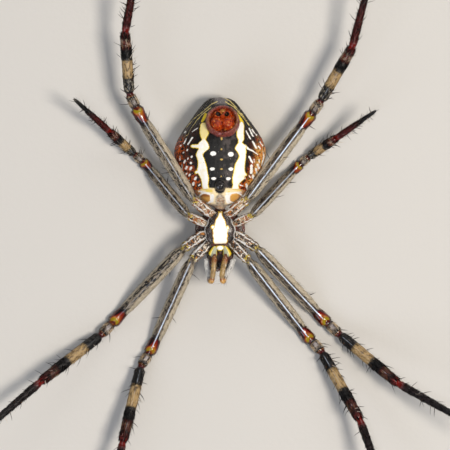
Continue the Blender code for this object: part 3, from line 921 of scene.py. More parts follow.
# Hard plates: name, roughness, depth and size of the grain in mm, strength of a polished top layer, base
# colour, clouds over it (size in mm and colour) and coats (field, where it begins and is full, colour).
PLATES = {
    # Thick and tanned almost black, so that it shows as a dark glint.
    "dark": ("Sclerotised chitin, polished", 0.16, 0.012, 0.08, 0.6, "black", None, ()),
    # A satin brown shield with rusty clouds, seen where its silver hair parts.
    "carapace": ("Chitin carapace, tanned brown", 0.38, 0.03, 0.08, 0.0, "umber", (0.5, "rust"), ()),
    # The wall between shield and breastplate is thin and wrinkled, so that it stays dull.
    "membrane": ("Soft pleural membrane", 0.45, 0.05, 0.12, 0.0, "umber", (0.3, "rust"), ()),
    # Clear as glass over black: one sharp highlight in the dark.
    "lens": ("Corneal lens over a black cup", 0.05, 0.002, 0.05, 1.0, "lens", None, ()),
    # White pigment shows through in the blaze, with a yellow edge, on brown-black.
    "breastplate": (
        "Chitin breastplate over white pigment", 0.34, 0.03, 0.09, 0.25, "umber", (0.30, "black"),
        (("blaze", 0.10, 0.05, "amber"), ("lobes", 0.05, 0.01, "amber"), ("lobes", 0.02, -0.02, "yellow"),
         ("lobes", -0.05, -0.10, "pigment"), ("blaze", 0.04, 0.01, "yellow"),
         ("blaze", -0.01, -0.05, "pigment"), ("rim", 0.045, 0.0, "frost")),
    ),
    # A brown lip with a white middle that yellows outwards.
    "lip": (
        "Chitin lip plate over pigment", 0.34, 0.02, 0.08, 0.25, "umber", None,
        (("middle", 0.25, 0.10, "yellow"), ("middle", -0.10, -0.25, "pigment")),
    ),
    # Grey green inside, butter and yellow towards both edges, black where the brush stands.
    "mouth": (
        "Chitin mouth plates over pigment", 0.34, 0.02, 0.08, 0.25, "sage", None,
        (("rim", 0.52, 0.82, "butter"), ("rim", 0.84, 0.96, "yellow"), ("inner", 0.76, 0.90, "yellow"),
         ("dark_end", 0.55, 0.80, "black")),
    ),
    # Stout and black, with brown clouds and a broad highlight.
    "jaw": ("Chitin jaws, tanned and polished", 0.2, 0.02, 0.1, 0.5, "black", (0.35, "umber"), ()),
    # Dark red and glossy, as thin amber is over black.
    "fang": ("Chitin fangs, amber and polished", 0.14, 0.01, 0.1, 0.8, "blood", (0.3, "black"), ()),
}


def plate_material(key):
    """Hard chitin of one plate, with a fine grain that breaks up its highlights and frayed markings."""
    name, roughness, depth, size, polish, base, clouds, coats = PLATES[key]
    look = Finish(name, roughness, Coat_Weight=polish, Coat_Roughness=0.08)
    frays = look.total(-0.06, (look.grain(0.12), 0.12))
    if clouds:
        base = look.over(base, ((clouds[1], (look.grain(clouds[0], detail=3.0), 0.46, 0.60)),))
    for field, low, high, coat in coats:
        base = look.over(base, ((coat, (look.total(frays, (field, 1.0)), low, high)),))
    if not (clouds or coats):
        base = look.over(base, (("umber", look.grain(0.25), 0.3),))
    return look.done(base, look.total(look.grain(size), (look.grain(size * 3), 1.0)), depth)


def spinneret_material():
    """Spinneret cuticle: soft, folded and moist, rust orange with dusky collar folds.

    The eye sees small wet highlights on the folds, painted highlights on the crests, painted shade in the
    red-brown hollows between them and in the pits, and painted highlights at the collar's sides and the
    anal tubercle's tip.
    """
    moist = {"Specular_IOR_Level": 0.25, "Coat_Weight": 0.20, "Coat_Roughness": 0.12}
    look = Finish("Soft spinneret cuticle", 0.30, **moist)
    folds = look.grain(0.16, (1, 1, 0.5), 3.0)
    # Painted highlight on the crests and painted shade in the hollows, from the same lumps that raise the
    # folds.
    painted_crest_light, painted_hollow_shade = look.value((folds, 0.58, 0.70)), look.value((folds, 0.47, 0.37))
    base = look.over("brick", (
        ("scarlet", (look.grain(0.35), 0.44, 0.60), 0.6),
        ("blood", painted_hollow_shade, 0.85),
        ("orange", painted_crest_light, 0.8),
        (look.over("rose", (("mauve", painted_crest_light, 0.35), ("umber", painted_hollow_shade, 0.7))), "collar"),
        # Painted highlight where the pale field is set, and painted shade where the pit field is set.
        ("sand", "pale"),
        ("black", "pit"),
    ))
    return look.done(base, look.total(folds, (look.grain(0.06), 1.0)), 0.05)


def palp_material():
    """Palp cuticle: thin pale chitin under flat hair, whitish lilac, with an orange knee and tan end.

    The eye sees lengthwise streaks of brown and white, as where rows of hairs part.
    """
    look = Finish("Chitin palp cuticle", 0.40)
    share = look.total(look.value("share"), (look.grain(0.3), 0.05))
    bands = look.add("ValToRGB", {0: share}, (
        (0.00, "umber"), (0.06, "frost"), (0.36, "frost"), (0.41, "umber"), (0.45, "orange"),
        (0.55, "orange"), (0.58, "amber"), (0.60, "gold"), (0.84, "gold"), (0.90, "amber"), (1.00, "rust"),
    ))
    streaks = look.grain(0.10, (1, 0.3, 1), 3.0)
    base = look.over(bands, (("umber", (streaks, 0.52, 0.62), 0.6), ("pigment", (streaks, 0.42, 0.34), 0.6)))
    return look.done(base, look.grain(0.08), 0.03)


def floor_material():
    """Floor: matt emulsion paint rolled on board, which the eye sees as even, with a faint stipple."""
    look = Finish("Matt painted board, rolled", 0.85)
    look.place = look.add("TexCoord", take="Object")
    stipple = look.grain(0.0006)  # this one is in metres, as the floor's own coordinates are
    return look.done(look.over("floor", (("silver", stipple, 0.06),)), stipple, 0.02)


# ---------------------------------------------------------------- the abdomen

ABDOMEN = (
    (1.30, 0.30, 3.25, 3.85), (1.58, 0.52, 2.85, 4.12), (1.86, 1.16, 2.20, 4.56), (2.30, 1.72, 1.55, 4.92),
    (3.10, 2.52, 0.88, 5.32), (4.30, 3.36, 0.30, 5.66), (5.50, 3.90, -0.02, 5.82),
    (6.80, 4.00, -0.07, 5.82), (8.10, 3.42, 0.09, 5.55), (9.30, 2.56, 0.55, 4.86),
    (10.40, 1.74, 1.25, 3.86), (11.00, 1.16, 1.75, 3.10), (11.28, 0.50, 2.10, 2.62),
)
ABDOMEN_WIDEST = 0.36
FLOOR_REST = 0.012  # height of the skin's lowest points where the spider rests

# The white stripes: place along Y, middle, half width.
STRIPES = {
    "L": (
        (8.95, -1.45, 0.12), (8.80, -1.45, 0.24), (8.27, -1.41, 0.36), (8.01, -1.37, 0.38),
        (7.74, -1.41, 0.27), (7.48, -1.41, 0.17), (7.22, -1.45, 0.38), (6.95, -1.45, 0.48),
        (6.69, -1.43, 0.45), (6.42, -1.66, 0.34), (6.16, -1.79, 0.30), (5.63, -1.63, 0.31),
        (5.10, -1.55, 0.39), (4.84, -1.56, 0.44), (4.58, -1.50, 0.43), (4.05, -1.33, 0.34),
        (3.52, -1.31, 0.27), (3.20, -1.25, 0.30),
    ),
    "R": (
        (9.06, 1.90, 0.10), (8.80, 1.88, 0.23), (8.27, 1.80, 0.31), (7.74, 1.80, 0.31), (7.48, 1.84, 0.24),
        (7.22, 1.77, 0.18), (6.95, 1.79, 0.38), (6.69, 1.80, 0.47), (6.42, 1.92, 0.40), (6.16, 1.97, 0.31),
        (5.90, 1.95, 0.31), (5.37, 1.77, 0.42), (4.84, 1.70, 0.47), (4.58, 1.70, 0.53), (4.05, 1.60, 0.52),
        (3.78, 1.45, 0.38), (3.52, 1.38, 0.27), (3.20, 1.35, 0.32),
    ),
}
# Side branches of the stripes and other thick lines: from X, Y, to X, Y, half width at both ends.
BRANCHES = (
    (-1.60, 6.90, -2.42, 6.92, 0.20, 0.13), (-1.70, 4.80, -2.08, 4.62, 0.18, 0.12),
    (1.95, 7.05, 2.25, 6.85, 0.14, 0.10), (1.95, 4.60, 2.25, 4.42, 0.22, 0.12),
)
YELLOW_PATCHES = ((-1.24, 9.70, -1.56, 9.12, 0.16, 0.11), (1.46, 9.80, 1.95, 9.05, 0.10, 0.13))
TAIL_LINES = (
    ((-0.25, 10.88), (-0.77, 10.66), (-1.41, 10.08), (-2.38, 9.30), (-3.00, 8.60)),
    ((-0.83, 10.33), (-1.47, 9.81), (-2.05, 9.24), (-2.58, 8.45), (-2.82, 7.96), (-3.28, 7.59)),
    ((0.40, 11.22), (0.88, 10.91), (1.58, 10.20), (2.38, 9.15), (2.99, 8.27), (3.52, 7.39)),
    ((0.48, 10.87), (1.29, 10.36), (2.08, 9.40), (2.57, 8.81)),
)
SPOTS = (  # white spots in pairs: middle, half width, half length
    (-0.60, 6.27, 0.26, 0.21), (0.95, 6.20, 0.26, 0.21), (-0.67, 4.91, 0.22, 0.15), (0.95, 4.91, 0.22, 0.16),
    (-0.56, 4.07, 0.21, 0.13), (0.72, 4.07, 0.21, 0.14),
)
DOTS = (  # tan dots along the middle line, given in the same way
    (0.14, 7.62, 0.07, 0.18), (0.13, 6.65, 0.08, 0.08), (0.13, 5.75, 0.11, 0.07), (0.13, 4.91, 0.11, 0.06),
    (0.12, 4.26, 0.06, 0.06),
)
DASHES = (  # white dashes of the sides: from X, Y, to X, Y, half width
    (-1.96, 8.54, -2.43, 8.20, 0.035), (-3.02, 8.23, -3.12, 8.14, 0.053), (-3.16, 7.16, -2.95, 7.59, 0.048),
    (-2.81, 7.08, -2.41, 7.68, 0.066), (-3.43, 7.01, -3.47, 6.95, 0.062), (-2.86, 6.63, -2.89, 6.57, 0.066),
    (-3.18, 6.40, -3.24, 6.34, 0.057), (-2.46, 6.03, -2.50, 5.96, 0.075), (-2.81, 5.86, -2.85, 5.79, 0.066),
    (-3.10, 5.65, -3.18, 5.47, 0.088), (-2.55, 5.45, -2.56, 5.44, 0.106), (-2.94, 5.09, -3.01, 4.96, 0.097),
    (-2.54, 5.03, -2.61, 4.91, 0.106), (-3.38, 5.32, -3.33, 4.86, 0.040), (-3.52, 6.04, -3.56, 5.70, 0.040),
    (-2.64, 4.44, -2.74, 4.33, 0.075), (-2.11, 4.16, -2.18, 4.04, 0.106), (-2.30, 3.70, -2.38, 3.55, 0.106),
    (-1.75, 3.57, -1.89, 3.45, 0.048), (-2.94, 4.53, -2.99, 4.44, 0.053), (-2.73, 3.93, -2.79, 3.82, 0.053),
    (2.57, 8.51, 2.92, 7.82, 0.057), (2.82, 8.41, 3.21, 7.92, 0.044), (2.32, 8.26, 2.67, 7.58, 0.057),
    (2.87, 7.33, 3.19, 6.78, 0.079), (3.51, 7.33, 3.76, 6.98, 0.048), (3.39, 6.93, 3.56, 6.69, 0.057),
    (3.76, 6.49, 3.85, 5.99, 0.044), (3.85, 5.99, 3.66, 5.25, 0.044), (3.43, 5.75, 3.46, 5.50, 0.057),
    (2.57, 5.99, 2.84, 5.50, 0.088), (2.99, 5.76, 3.04, 5.54, 0.040), (2.77, 5.20, 2.75, 4.61, 0.119),
    (3.31, 5.30, 3.43, 5.01, 0.106), (3.17, 4.93, 3.26, 4.49, 0.088), (2.87, 4.36, 3.02, 3.87, 0.097),
    (2.58, 4.33, 2.66, 4.19, 0.044), (2.17, 4.15, 2.19, 4.08, 0.053), (2.32, 3.57, 2.40, 3.18, 0.092),
    (1.63, 3.56, 2.02, 3.43, 0.040), (3.21, 4.02, 2.77, 3.27, 0.044), (2.20, 6.98, 2.47, 6.69, 0.085),
    (2.47, 6.69, 2.92, 6.49, 0.070), (2.92, 6.49, 3.31, 6.19, 0.050),
)
LUNG_COVERS = ((-1.28, 2.36, 0.51, 0.39), (1.36, 2.38, 0.57, 0.40))
# White bars, ribbons and blobs of the front: from X, Y, to X, Y, half width at both ends.
WHITE_MARKS = (
    (-1.46, 3.23, -0.97, 3.23, 0.06, 0.05), (-1.86, 2.95, -0.93, 2.76, 0.07, 0.11),
    (-0.68, 2.55, -0.70, 2.14, 0.20, 0.17), (-0.74, 2.05, -1.19, 1.88, 0.10, 0.06),
    (0.55, 2.78, 1.87, 2.90, 0.09, 0.06), (0.66, 2.50, 0.72, 2.06, 0.23, 0.20),
)
GOLD_MARKS = (  # the same for yellow and orange marks
    (-1.22, 2.99, -0.76, 2.97, 0.08, 0.09), (0.77, 2.90, 0.80, 2.90, 0.06, 0.06),
    (-1.90, 3.11, -0.90, 3.12, 0.03, 0.03), (1.17, 3.12, 1.81, 3.01, 0.03, 0.03),
    (3.10, 7.66, 3.32, 7.40, 0.10, 0.08), (-1.65, 3.25, -1.64, 3.26, 0.08, 0.07),
)
FURROW_Y = 3.10  # the fold across the belly behind the lung covers
EPIGYNE_PLAN = (0.0, 3.48)
NO_MARK = 3.0  # the distance to a mark that is given where there are none, on the back


def strokes(plan, rows):
    """Signed distance in plan to the nearest of some thick lines: from X, Y, to X, Y, half widths."""
    return nearest(*[capsule(plan, row[:2], row[2:4], *row[4:]) for row in rows])


def ovals(plan, rows):
    """Signed distance in plan to the nearest of some ovals."""
    return nearest(*[oval(plan, *row) for row in rows])


def abdomen_surface():
    """The soft abdomen with its folds, pads and pits, and the fields that its colours follow."""
    form = body_form(ABDOMEN, ABDOMEN_WIDEST, 340, 280)
    form.push(-0.4 * sizes().coat_depth / MM)
    plan = form.points[..., :2].copy()
    x, y = plan[..., 0], plan[..., 1]
    belly = form.fields["belly"]
    up = np.clip(form.normals[..., 2], 0, 1)
    stripe = nearest(*[ribbon(plan, rows) for rows in STRIPES.values()], strokes(plan, BRANCHES))
    spots, dots, lungs = ovals(plan, SPOTS), ovals(plan, DOTS), ovals(plan, LUNG_COVERS)
    lines = strokes(plan, [
        (*start, *end, 0.046 - 0.007 * number, 0.038 - 0.007 * number)
        for line in TAIL_LINES for number, (start, end) in enumerate(zip(line, line[1:]))
    ])
    outline = at([r[:2] for r in ABDOMEN], y)
    across = np.abs(x - 0.05) / np.maximum(outline, 0.2)
    fore = np.maximum(y - 3.26 + 0.25 * smooth(0.5, 0.9, across), (across - 0.93) * 2.5)
    behind = y - EPIGYNE_PLAN[1]
    round_epigyne = np.hypot(x - EPIGYNE_PLAN[0], behind * np.where(behind < 0, 0.72, 1.0))
    fore = np.maximum(fore, 0.54 - round_epigyne)
    # Where the painted grey sheen lies: the belly's middle field, on its +X half and its rear part.
    painted_sheen_field = smooth(0.0, 0.25, 1.55 - np.abs(x - 0.18)) * smooth(8.6, 8.2, y)
    painted_sheen_field = painted_sheen_field * np.maximum(smooth(0.0, 0.5, x), smooth(7.2, 7.6, y))
    flank = smooth(-0.45, -0.2, belly) * smooth(0.50, 0.66, across) * smooth(9.2, 8.0, y)
    warm = bell(np.hypot((x - 3.45) / 0.45, (y - 6.34) / 0.62), 1.0)
    warm = warm + bell(np.hypot(x + 3.38, y - 6.69), 0.42)
    outer = smooth(0.80, 0.93, across) * smooth(8.0, 7.2, y)
    low = smooth(6.3, 5.0, y) * smooth(0.54, 0.78, across + 0.06 * lumps(form.points, 0.5, 6))
    low = np.maximum(low, smooth(4.6, 3.9, y))
    glow = flank * np.clip(0.05 + 0.70 * low + 1.10 * outer + 0.5 * warm, 0, 1)
    flank = flank * np.clip(0.80 * low + 0.75 * outer + 0.6 * warm, 0, 1)
    ember = smooth(0.68, 0.86, across) * smooth(1.0, 2.0, x) * between(3.3, 3.7, 6.7, 7.5, y)
    plan_fields = {
        "stripe": stripe, "spots": spots, "dots": dots, "tail_lines": lines, "lungs": lungs, "fore": fore,
        "yellow_patch": strokes(plan, YELLOW_PATCHES), "dashes": strokes(plan, DASHES) - 0.002,
        "white_patch": strokes(plan, WHITE_MARKS), "gold_patch": strokes(plan, GOLD_MARKS),
        "mottled": nearest(oval(plan, 0.02, 2.16, 0.44, 0.55), y - 1.84),
    }
    for name, distance in plan_fields.items():
        form.fields[name] = np.where(belly > -0.05, distance, NO_MARK)
    form.fields.update(
        middle=painted_sheen_field * (belly > 0), flank=flank, glow=glow, ember=ember * (belly > -0.3),
        buttery=(x < 0) * smooth(7.35, 7.65, y) * 0.85,
        tail=smooth(10.45, 10.8, y) * smooth(0.75, 0.35, np.abs(x - 0.1)),
        side_glow=smooth(0.62, 0.85, across) * smooth(1.6, 2.2, y),
        lung_rim=np.where(x < 0, smooth(2.38, 2.60, y), smooth(1.50, 1.78, x)) * 0.9,
    )
    relief = 0.030 * lumps(form.points, 0.9, 3) + 0.014 * lumps(form.points, 0.32, 4)
    # Lengthwise folds of the flanks, deeper towards the waist.
    turn = np.arctan2(form.points[..., 0], form.points[..., 2] - 2.2)
    relief += 0.020 * np.sin(turn * 46 + 3 * lumps(form.points, 1.4, 5)) * smooth(0.55, 0.9, across)
    furrow = bell(y - FURROW_Y - 0.06 * np.cos(x * 2.4), 0.07) * smooth(2.3, 1.6, np.abs(x))
    relief += up * (
        0.020 * smooth(0.03, -0.05, stripe) + 0.016 * smooth(0.03, -0.05, spots)
        + 0.11 * smooth(0.10, -0.22, lungs) - 0.05 * bell(lungs - 0.02, 0.05) - 0.10 * furrow
        - 0.03 * bell(dots, 0.06) - 0.06 * bell(round_epigyne - 0.56, 0.06)
    )
    form.push(np.minimum(relief, 0.045))
    form.points[..., 2] = np.maximum(form.points[..., 2], FLOOR_REST)
    form.refresh()
    return with_place(form)


# ---------------------------------------------------------------- the spinnerets

SPINNERETS_AT = np.array([0.22, 9.05, 5.02])
SPINNERETS_LEAN = math.radians(-24)
COLLAR_PROFILE = (  # share of the way in: radius and height above the belly
    (0.00, 1.50, -0.55), (0.16, 1.52, -0.10), (0.30, 1.51, 0.22), (0.44, 1.41, 0.47), (0.56, 1.29, 0.56),
    (0.66, 1.19, 0.50), (0.76, 1.12, 0.32), (0.88, 1.01, 0.16), (1.00, 0.30, 0.10),
)
# Each lobe: foot, tip, radius at the foot, radius at the tip, how dark its tip pit is, how pale.
# The dark is painted shade in the pit, and the pale a painted highlight on the tip.
LOBES = {
    "anterior_R": ((0.48, -0.40, -0.05), (0.38, -0.22, 0.84), 0.64, 0.50, 0.0, 0.0),
    "anterior_L": ((-0.48, -0.40, -0.05), (-0.38, -0.22, 0.84), 0.64, 0.50, 0.0, 0.0),
    "posterior_R": ((0.50, 0.48, -0.05), (0.38, 0.44, 0.76), 0.44, 0.32, 1.0, 0.0),
    "posterior_L": ((-0.50, 0.48, -0.05), (-0.38, 0.44, 0.76), 0.44, 0.32, 1.0, 0.0),
    "median": ((0.02, 0.22, 0.00), (0.00, 0.26, 0.84), 0.24, 0.16, 0.0, 0.0),
    "anal_tubercle": ((0.02, 0.88, 0.00), (0.02, 0.74, 0.66), 0.34, 0.22, 0.0, 0.35),
}
COLLAR_ROWS = 90
LOBE_ROWS = 46


def leaned(points):
    """Points of the spinnerets' own upright frame, leaned towards the tail and put in place."""
    c, s = math.cos(SPINNERETS_LEAN), math.sin(SPINNERETS_LEAN)
    turn = np.array([[1, 0, 0], [0, c, -s], [0, s, c]])
    return points @ turn.T + SPINNERETS_AT


def collar_surface():
    """The round collar: a thick folded ring with a well in which the lobes stand."""
    share = np.linspace(0, 1, COLLAR_ROWS)
    radius, height = at(COLLAR_PROFILE, share).T
    turn = around(200)
    share, radius, height = share[:, None], radius[:, None], height[:, None]
    grid = np.stack([np.sin(turn) * radius, np.cos(turn) * radius, height + 0 * turn], axis=-1)
    form = Surface(grid)
    form.push(0.012 * np.sin(turn * 26 + 2 * lumps(grid, 0.7, 8)) * smooth(0.25, 0.5, share) - 0.02)
    form.push(0.035 * lumps(grid, 0.40, 9) + 0.008 * lumps(grid, 0.14, 10))
    # Painted highlight on the collar's crest at its left and right sides, and painted shade down in its well.
    sides = np.abs(np.sin(turn)) ** 3 * between(0.40, 0.52, 0.62, 0.75, share)
    shape = grid.shape[:2]
    with_place(form, collar=spread(smooth(0.80, 0.66, share), shape),
               pit=spread(smooth(0.80, 0.95, share), shape) * 0.8,
               pale=sides * 0.15 * (lumps(grid, 0.25, 12) > -0.2))
    form.points = leaned(form.points)
    form.refresh()
    return form


def lobe_surface(name, foot, tip, wide, narrow, pit, pale):
    """One spinneret: a stout folded cone with a rounded tip, and a pit in it where its tip turns in."""
    share = np.linspace(0, 1, LOBE_ROWS)[:, None]
    foot, tip = np.array(foot), np.array(tip)
    close = np.sqrt(np.clip(1 - np.clip((share - 0.62) / 0.38, 0, 1) ** 2.4, 0, 1))
    radius = np.maximum(close, 0.03)
    # Painted shade: a lobe without a pit is dark at its foot, down in the collar's well; one with a pit is
    # dark inside it.
    rise, dark = share, 0.85 * smooth(0.35, 0.05, share)
    if pit:  # the last rows turn back down into the tip
        inward = np.clip((share - 0.80) / 0.20, 0, 1)
        radius = np.where(share < 0.80, np.maximum(close, 0.8), 0.86 - 0.78 * inward)
        rise, dark = np.where(share < 0.80, share / 0.80, 1 - 0.30 * inward), pit * smooth(0.80, 0.88, share)
    radius = (wide + (narrow - wide) * smooth(0.0, 1.0, share)) * radius
    centres = foot + (tip - foot) * rise
    across, over = square_to(unit(tip - foot), [0, 1.0, 0])
    turn = around(72)
    ring = across * np.cos(turn)[:, None] + over * np.sin(turn)[:, None]
    grid = centres[:, None] + ring * radius[..., None]
    form = Surface(grid)
    seed = sum(map(ord, name))
    relief = 0.018 * np.sin(turn * 11 + 2.5 * lumps(grid, 0.3, seed)) * smooth(0.1, 0.5, share)
    relief = relief + 0.004 * np.sin(share * 40)
    relief = relief + 0.05 * lumps(grid, 0.20, seed + 1) + 0.020 * lumps(grid, 0.08, seed + 2)
    form.push(relief * smooth(1.0, 0.9, share))
    shape = grid.shape[:2]
    with_place(form, collar=np.zeros(shape), pale=spread(pale * smooth(0.5, 0.8, share), shape),
               pit=spread(dark, shape))
    form.points = leaned(form.points)
    form.refresh()
    return form


# ---------------------------------------------------------------- head and breast

CARAPACE = (
    (-4.10, 0.66, 2.34, 2.98), (-3.98, 0.92, 2.10, 3.08), (-3.55, 1.12, 1.82, 3.14),
    (-2.80, 1.22, 1.62, 3.18), (-2.10, 1.46, 1.66, 3.20), (-1.45, 1.90, 1.76, 3.20),
    (-0.55, 2.24, 1.80, 3.20), (0.30, 2.12, 1.90, 3.20), (0.92, 1.52, 2.16, 3.18), (1.22, 0.72, 2.52, 3.12),
)
STERNUM = (
    (-1.74, 0.70, 3.38, 4.02), (-1.52, 1.10, 3.32, 4.26), (-0.90, 1.38, 3.30, 4.42),
    (-0.20, 1.34, 3.30, 4.48), (0.45, 1.06, 3.30, 4.44), (0.95, 0.64, 3.32, 4.32), (1.24, 0.26, 3.45, 4.12),
)
LABIUM = (
    (-2.36, 0.12, 3.95, 4.32), (-2.20, 0.24, 3.80, 4.42), (-1.98, 0.42, 3.74, 4.46),
    (-1.80, 0.36, 3.80, 4.36),
)
PLEURA = (  # the soft wall between carapace and breastplate, with the waist at its end
    (-3.55, 0.45, 2.70, 3.60), (-3.20, 0.86, 2.60, 3.72), (-2.40, 1.05, 2.60, 3.86),
    (-1.50, 1.50, 2.60, 3.92), (-0.40, 1.72, 2.60, 3.95), (0.50, 1.48, 2.60, 3.94),
    (1.05, 0.80, 2.70, 3.84), (1.35, 0.46, 2.86, 3.72), (1.75, 0.44, 2.98, 3.76), (2.10, 0.52, 2.95, 3.90),
)
BLAZE = (  # the white stripe of the breastplate: place along Y, middle, half width
    (1.24, 0.02, 0.16), (1.02, 0.02, 0.13), (0.86, 0.02, 0.15), (0.65, 0.02, 0.26), (0.44, 0.02, 0.38),
    (0.00, 0.02, 0.49), (-0.26, 0.02, 0.55), (-0.44, 0.02, 0.65), (-0.75, 0.02, 0.61), (-0.97, 0.02, 0.65),
    (-1.18, 0.03, 0.57), (-1.41, 0.03, 0.61), (-1.62, 0.03, 0.51),
)
BLAZE_LOBES = ((-0.62, -0.19, 0.20), (0.60, -0.25, 0.20))
EYES = {
    "anterior_median_eye": ((0.22, -4.02, 2.46), 0.125),
    "posterior_median_eye": ((0.27, -3.70, 1.93), 0.135),
    "anterior_lateral_eye": ((0.80, -3.90, 2.56), 0.095),
    "posterior_lateral_eye": ((0.93, -3.70, 2.32), 0.105),
}
HEAD_MIDDLE = np.array([0.0, -2.9, 2.6])  # the eyes look straight away from it
EYE_RING = 0.035  # radius of the raised rim around an eye
CHELICERA_PATH = (
    (0.42, -3.42, 3.25), (0.42, -3.44, 3.36), (0.42, -3.52, 3.72), (0.41, -3.62, 4.12), (0.40, -3.68, 4.34),
    (0.39, -3.70, 4.44),
)
CHELICERA_RADII = (0.22, 0.33, 0.375, 0.36, 0.28, 0.14)
FANG_PATH = ((0.50, -3.56, 4.40), (0.44, -3.40, 4.46), (0.32, -3.26, 4.44), (0.20, -3.22, 4.38))
FANG_RADII = (0.10, 0.085, 0.06, 0.012)
ENDITE_PATH = (
    (0.38, -1.90, 4.06), (0.45, -2.04, 4.10), (0.56, -2.30, 4.10), (0.63, -2.56, 4.06), (0.66, -2.74, 4.00),
)
ENDITE_RADII = (0.14, 0.24, 0.33, 0.40, 0.26)
PALP_PATH = (
    (1.16, -2.94, 3.86), (1.18, -3.08, 3.86), (1.14, -3.60, 3.86), (1.02, -4.16, 3.88), (0.90, -4.64, 3.98),
    (0.82, -4.88, 4.20), (0.74, -4.90, 4.50), (0.66, -4.66, 4.72), (0.58, -4.10, 4.82), (0.53, -3.50, 4.80),
    (0.50, -2.92, 4.74), (0.48, -2.56, 4.66),
)
PALP_SWING = {"L": 0.02, "R": 0.50}  # how far each palp's bend lies towards the left, in mm
PALP_RADII = (0.17, 0.25, 0.26, 0.25, 0.26, 0.29, 0.29, 0.27, 0.26, 0.26, 0.24, 0.15)


def path_tube(path, radii, sign, columns, gap, depth):
    """A skin along a path of the right side, mirrored for the left, inside its solid by a depth."""
    path = np.array(path) * [sign, 1, 1]
    length = np.append(0.0, np.cumsum(np.linalg.norm(np.diff(path, axis=0), axis=1)))
    points, place, _run = evenly(path, length, gap)
    radius = np.maximum(at(np.column_stack([length, radii]), place) - depth, 0.03)
    form, turn = tube(points, radius, columns)
    shape = form.points.shape[:2]
    form.fields["share"] = spread((place / length[-1])[:, None], shape)
    form.fields["belly"] = spread(np.cos(turn), shape)
    form.fields["flank"] = spread(np.sin(turn) * sign, shape)
    return form


def carapace_surface():
    """The hard shield of the back, with its pit, the rays from it and the groove behind the head part."""
    form = body_form(CARAPACE, 0.72, 120, 110)
    form.push(-sizes().coat_depth / MM)
    x, y, z = np.moveaxis(form.points, -1, 0)
    down = np.clip(-form.normals[..., 2], 0, 1)
    relief = 0.02 * lumps(form.points, 0.5, 21)
    behind = y + 0.35
    rays = bell(np.sin(np.arctan2(x, behind) * 4), 0.25) * smooth(0.3, 0.9, np.hypot(x, behind))
    pit = bell(x, 0.16) * bell(behind, 0.34)
    head_edge = bell(y + 2.0 + 0.45 * np.abs(x), 0.16)
    relief -= down * (0.16 * pit + 0.05 * rays + 0.08 * head_edge)
    form.push(np.minimum(relief, 0.03))
    return with_place(form)


def sternum_surface():
    """The breastplate, with its raised white blaze and a shallow bay opposite each coxa."""
    form = body_form(STERNUM, 0.55, 160, 120, 0.72)
    form.push(-0.03)
    plan = form.points[..., :2]
    edge = np.abs(form.points[..., 0]) / np.maximum(at([r[:2] for r in STERNUM], plan[..., 1]), 0.1)
    blaze = ribbon(plan, BLAZE)
    lobes = nearest(*[np.hypot(plan[..., 0] - x, plan[..., 1] - y) - r for x, y, r in BLAZE_LOBES])
    notch = capsule(plan, (0.0, 1.30), (0.0, 1.16), 0.08)
    blaze = np.maximum(blaze, -notch)
    up = np.clip(form.normals[..., 2], 0, 1)
    relief = 0.03 * lumps(form.points, 0.35, 31) + up * 0.035 * smooth(0.05, -0.1, blaze)
    bays = np.cos((plan[..., 1] + 0.35) * 2 * math.pi / 0.95)
    relief += smooth(0.6, 1.0, edge) * 0.05 * bays
    form.push(np.minimum(relief, 0.02))
    rim = np.abs(edge - 0.95 - 0.02 * bays) - 0.025
    return with_place(form, blaze=blaze, rim=rim, lobes=lobes)


# ---------------------------------------------------------------- the legs

# Of each pair: how stout it is, and where the right leg meets the breastplate.
GIRTHS = {1: 1.0, 2: 1.0, 3: 0.84, 4: 1.0}
SOCKETS = {1: (0.95, -1.45, 3.72), 2: (1.25, -0.85, 3.72), 3: (1.20, 0.05, 3.72), 4: (0.42, 0.80, 3.86)}
LEG_RADII = (  # segment number and share, and the skin's radius in mm
    (-0.25, 0.30), (0.00, 0.42), (0.05, 0.45), (0.30, 0.50), (0.62, 0.48), (0.71, 0.42), (0.75, 0.41),
    (0.82, 0.47), (0.92, 0.43), (0.98, 0.36), (1.01, 0.36), (1.04, 0.44), (1.12, 0.55), (1.35, 0.59),
    (1.75, 0.565), (1.85, 0.53), (1.90, 0.475), (1.98, 0.53), (2.08, 0.57), (2.22, 0.55), (2.31, 0.43),
    (2.36, 0.39), (2.44, 0.45), (2.60, 0.475), (2.84, 0.45), (2.92, 0.38), (2.98, 0.32), (3.01, 0.32),
    (3.03, 0.41), (3.10, 0.455), (3.30, 0.48), (3.60, 0.475), (3.90, 0.42), (3.96, 0.38), (3.99, 0.30),
    (4.01, 0.30), (4.03, 0.36), (4.07, 0.34), (4.30, 0.31), (4.62, 0.25), (4.655, 0.20), (4.68, 0.22),
    (4.90, 0.18), (4.98, 0.13), (5.00, 0.07),
)
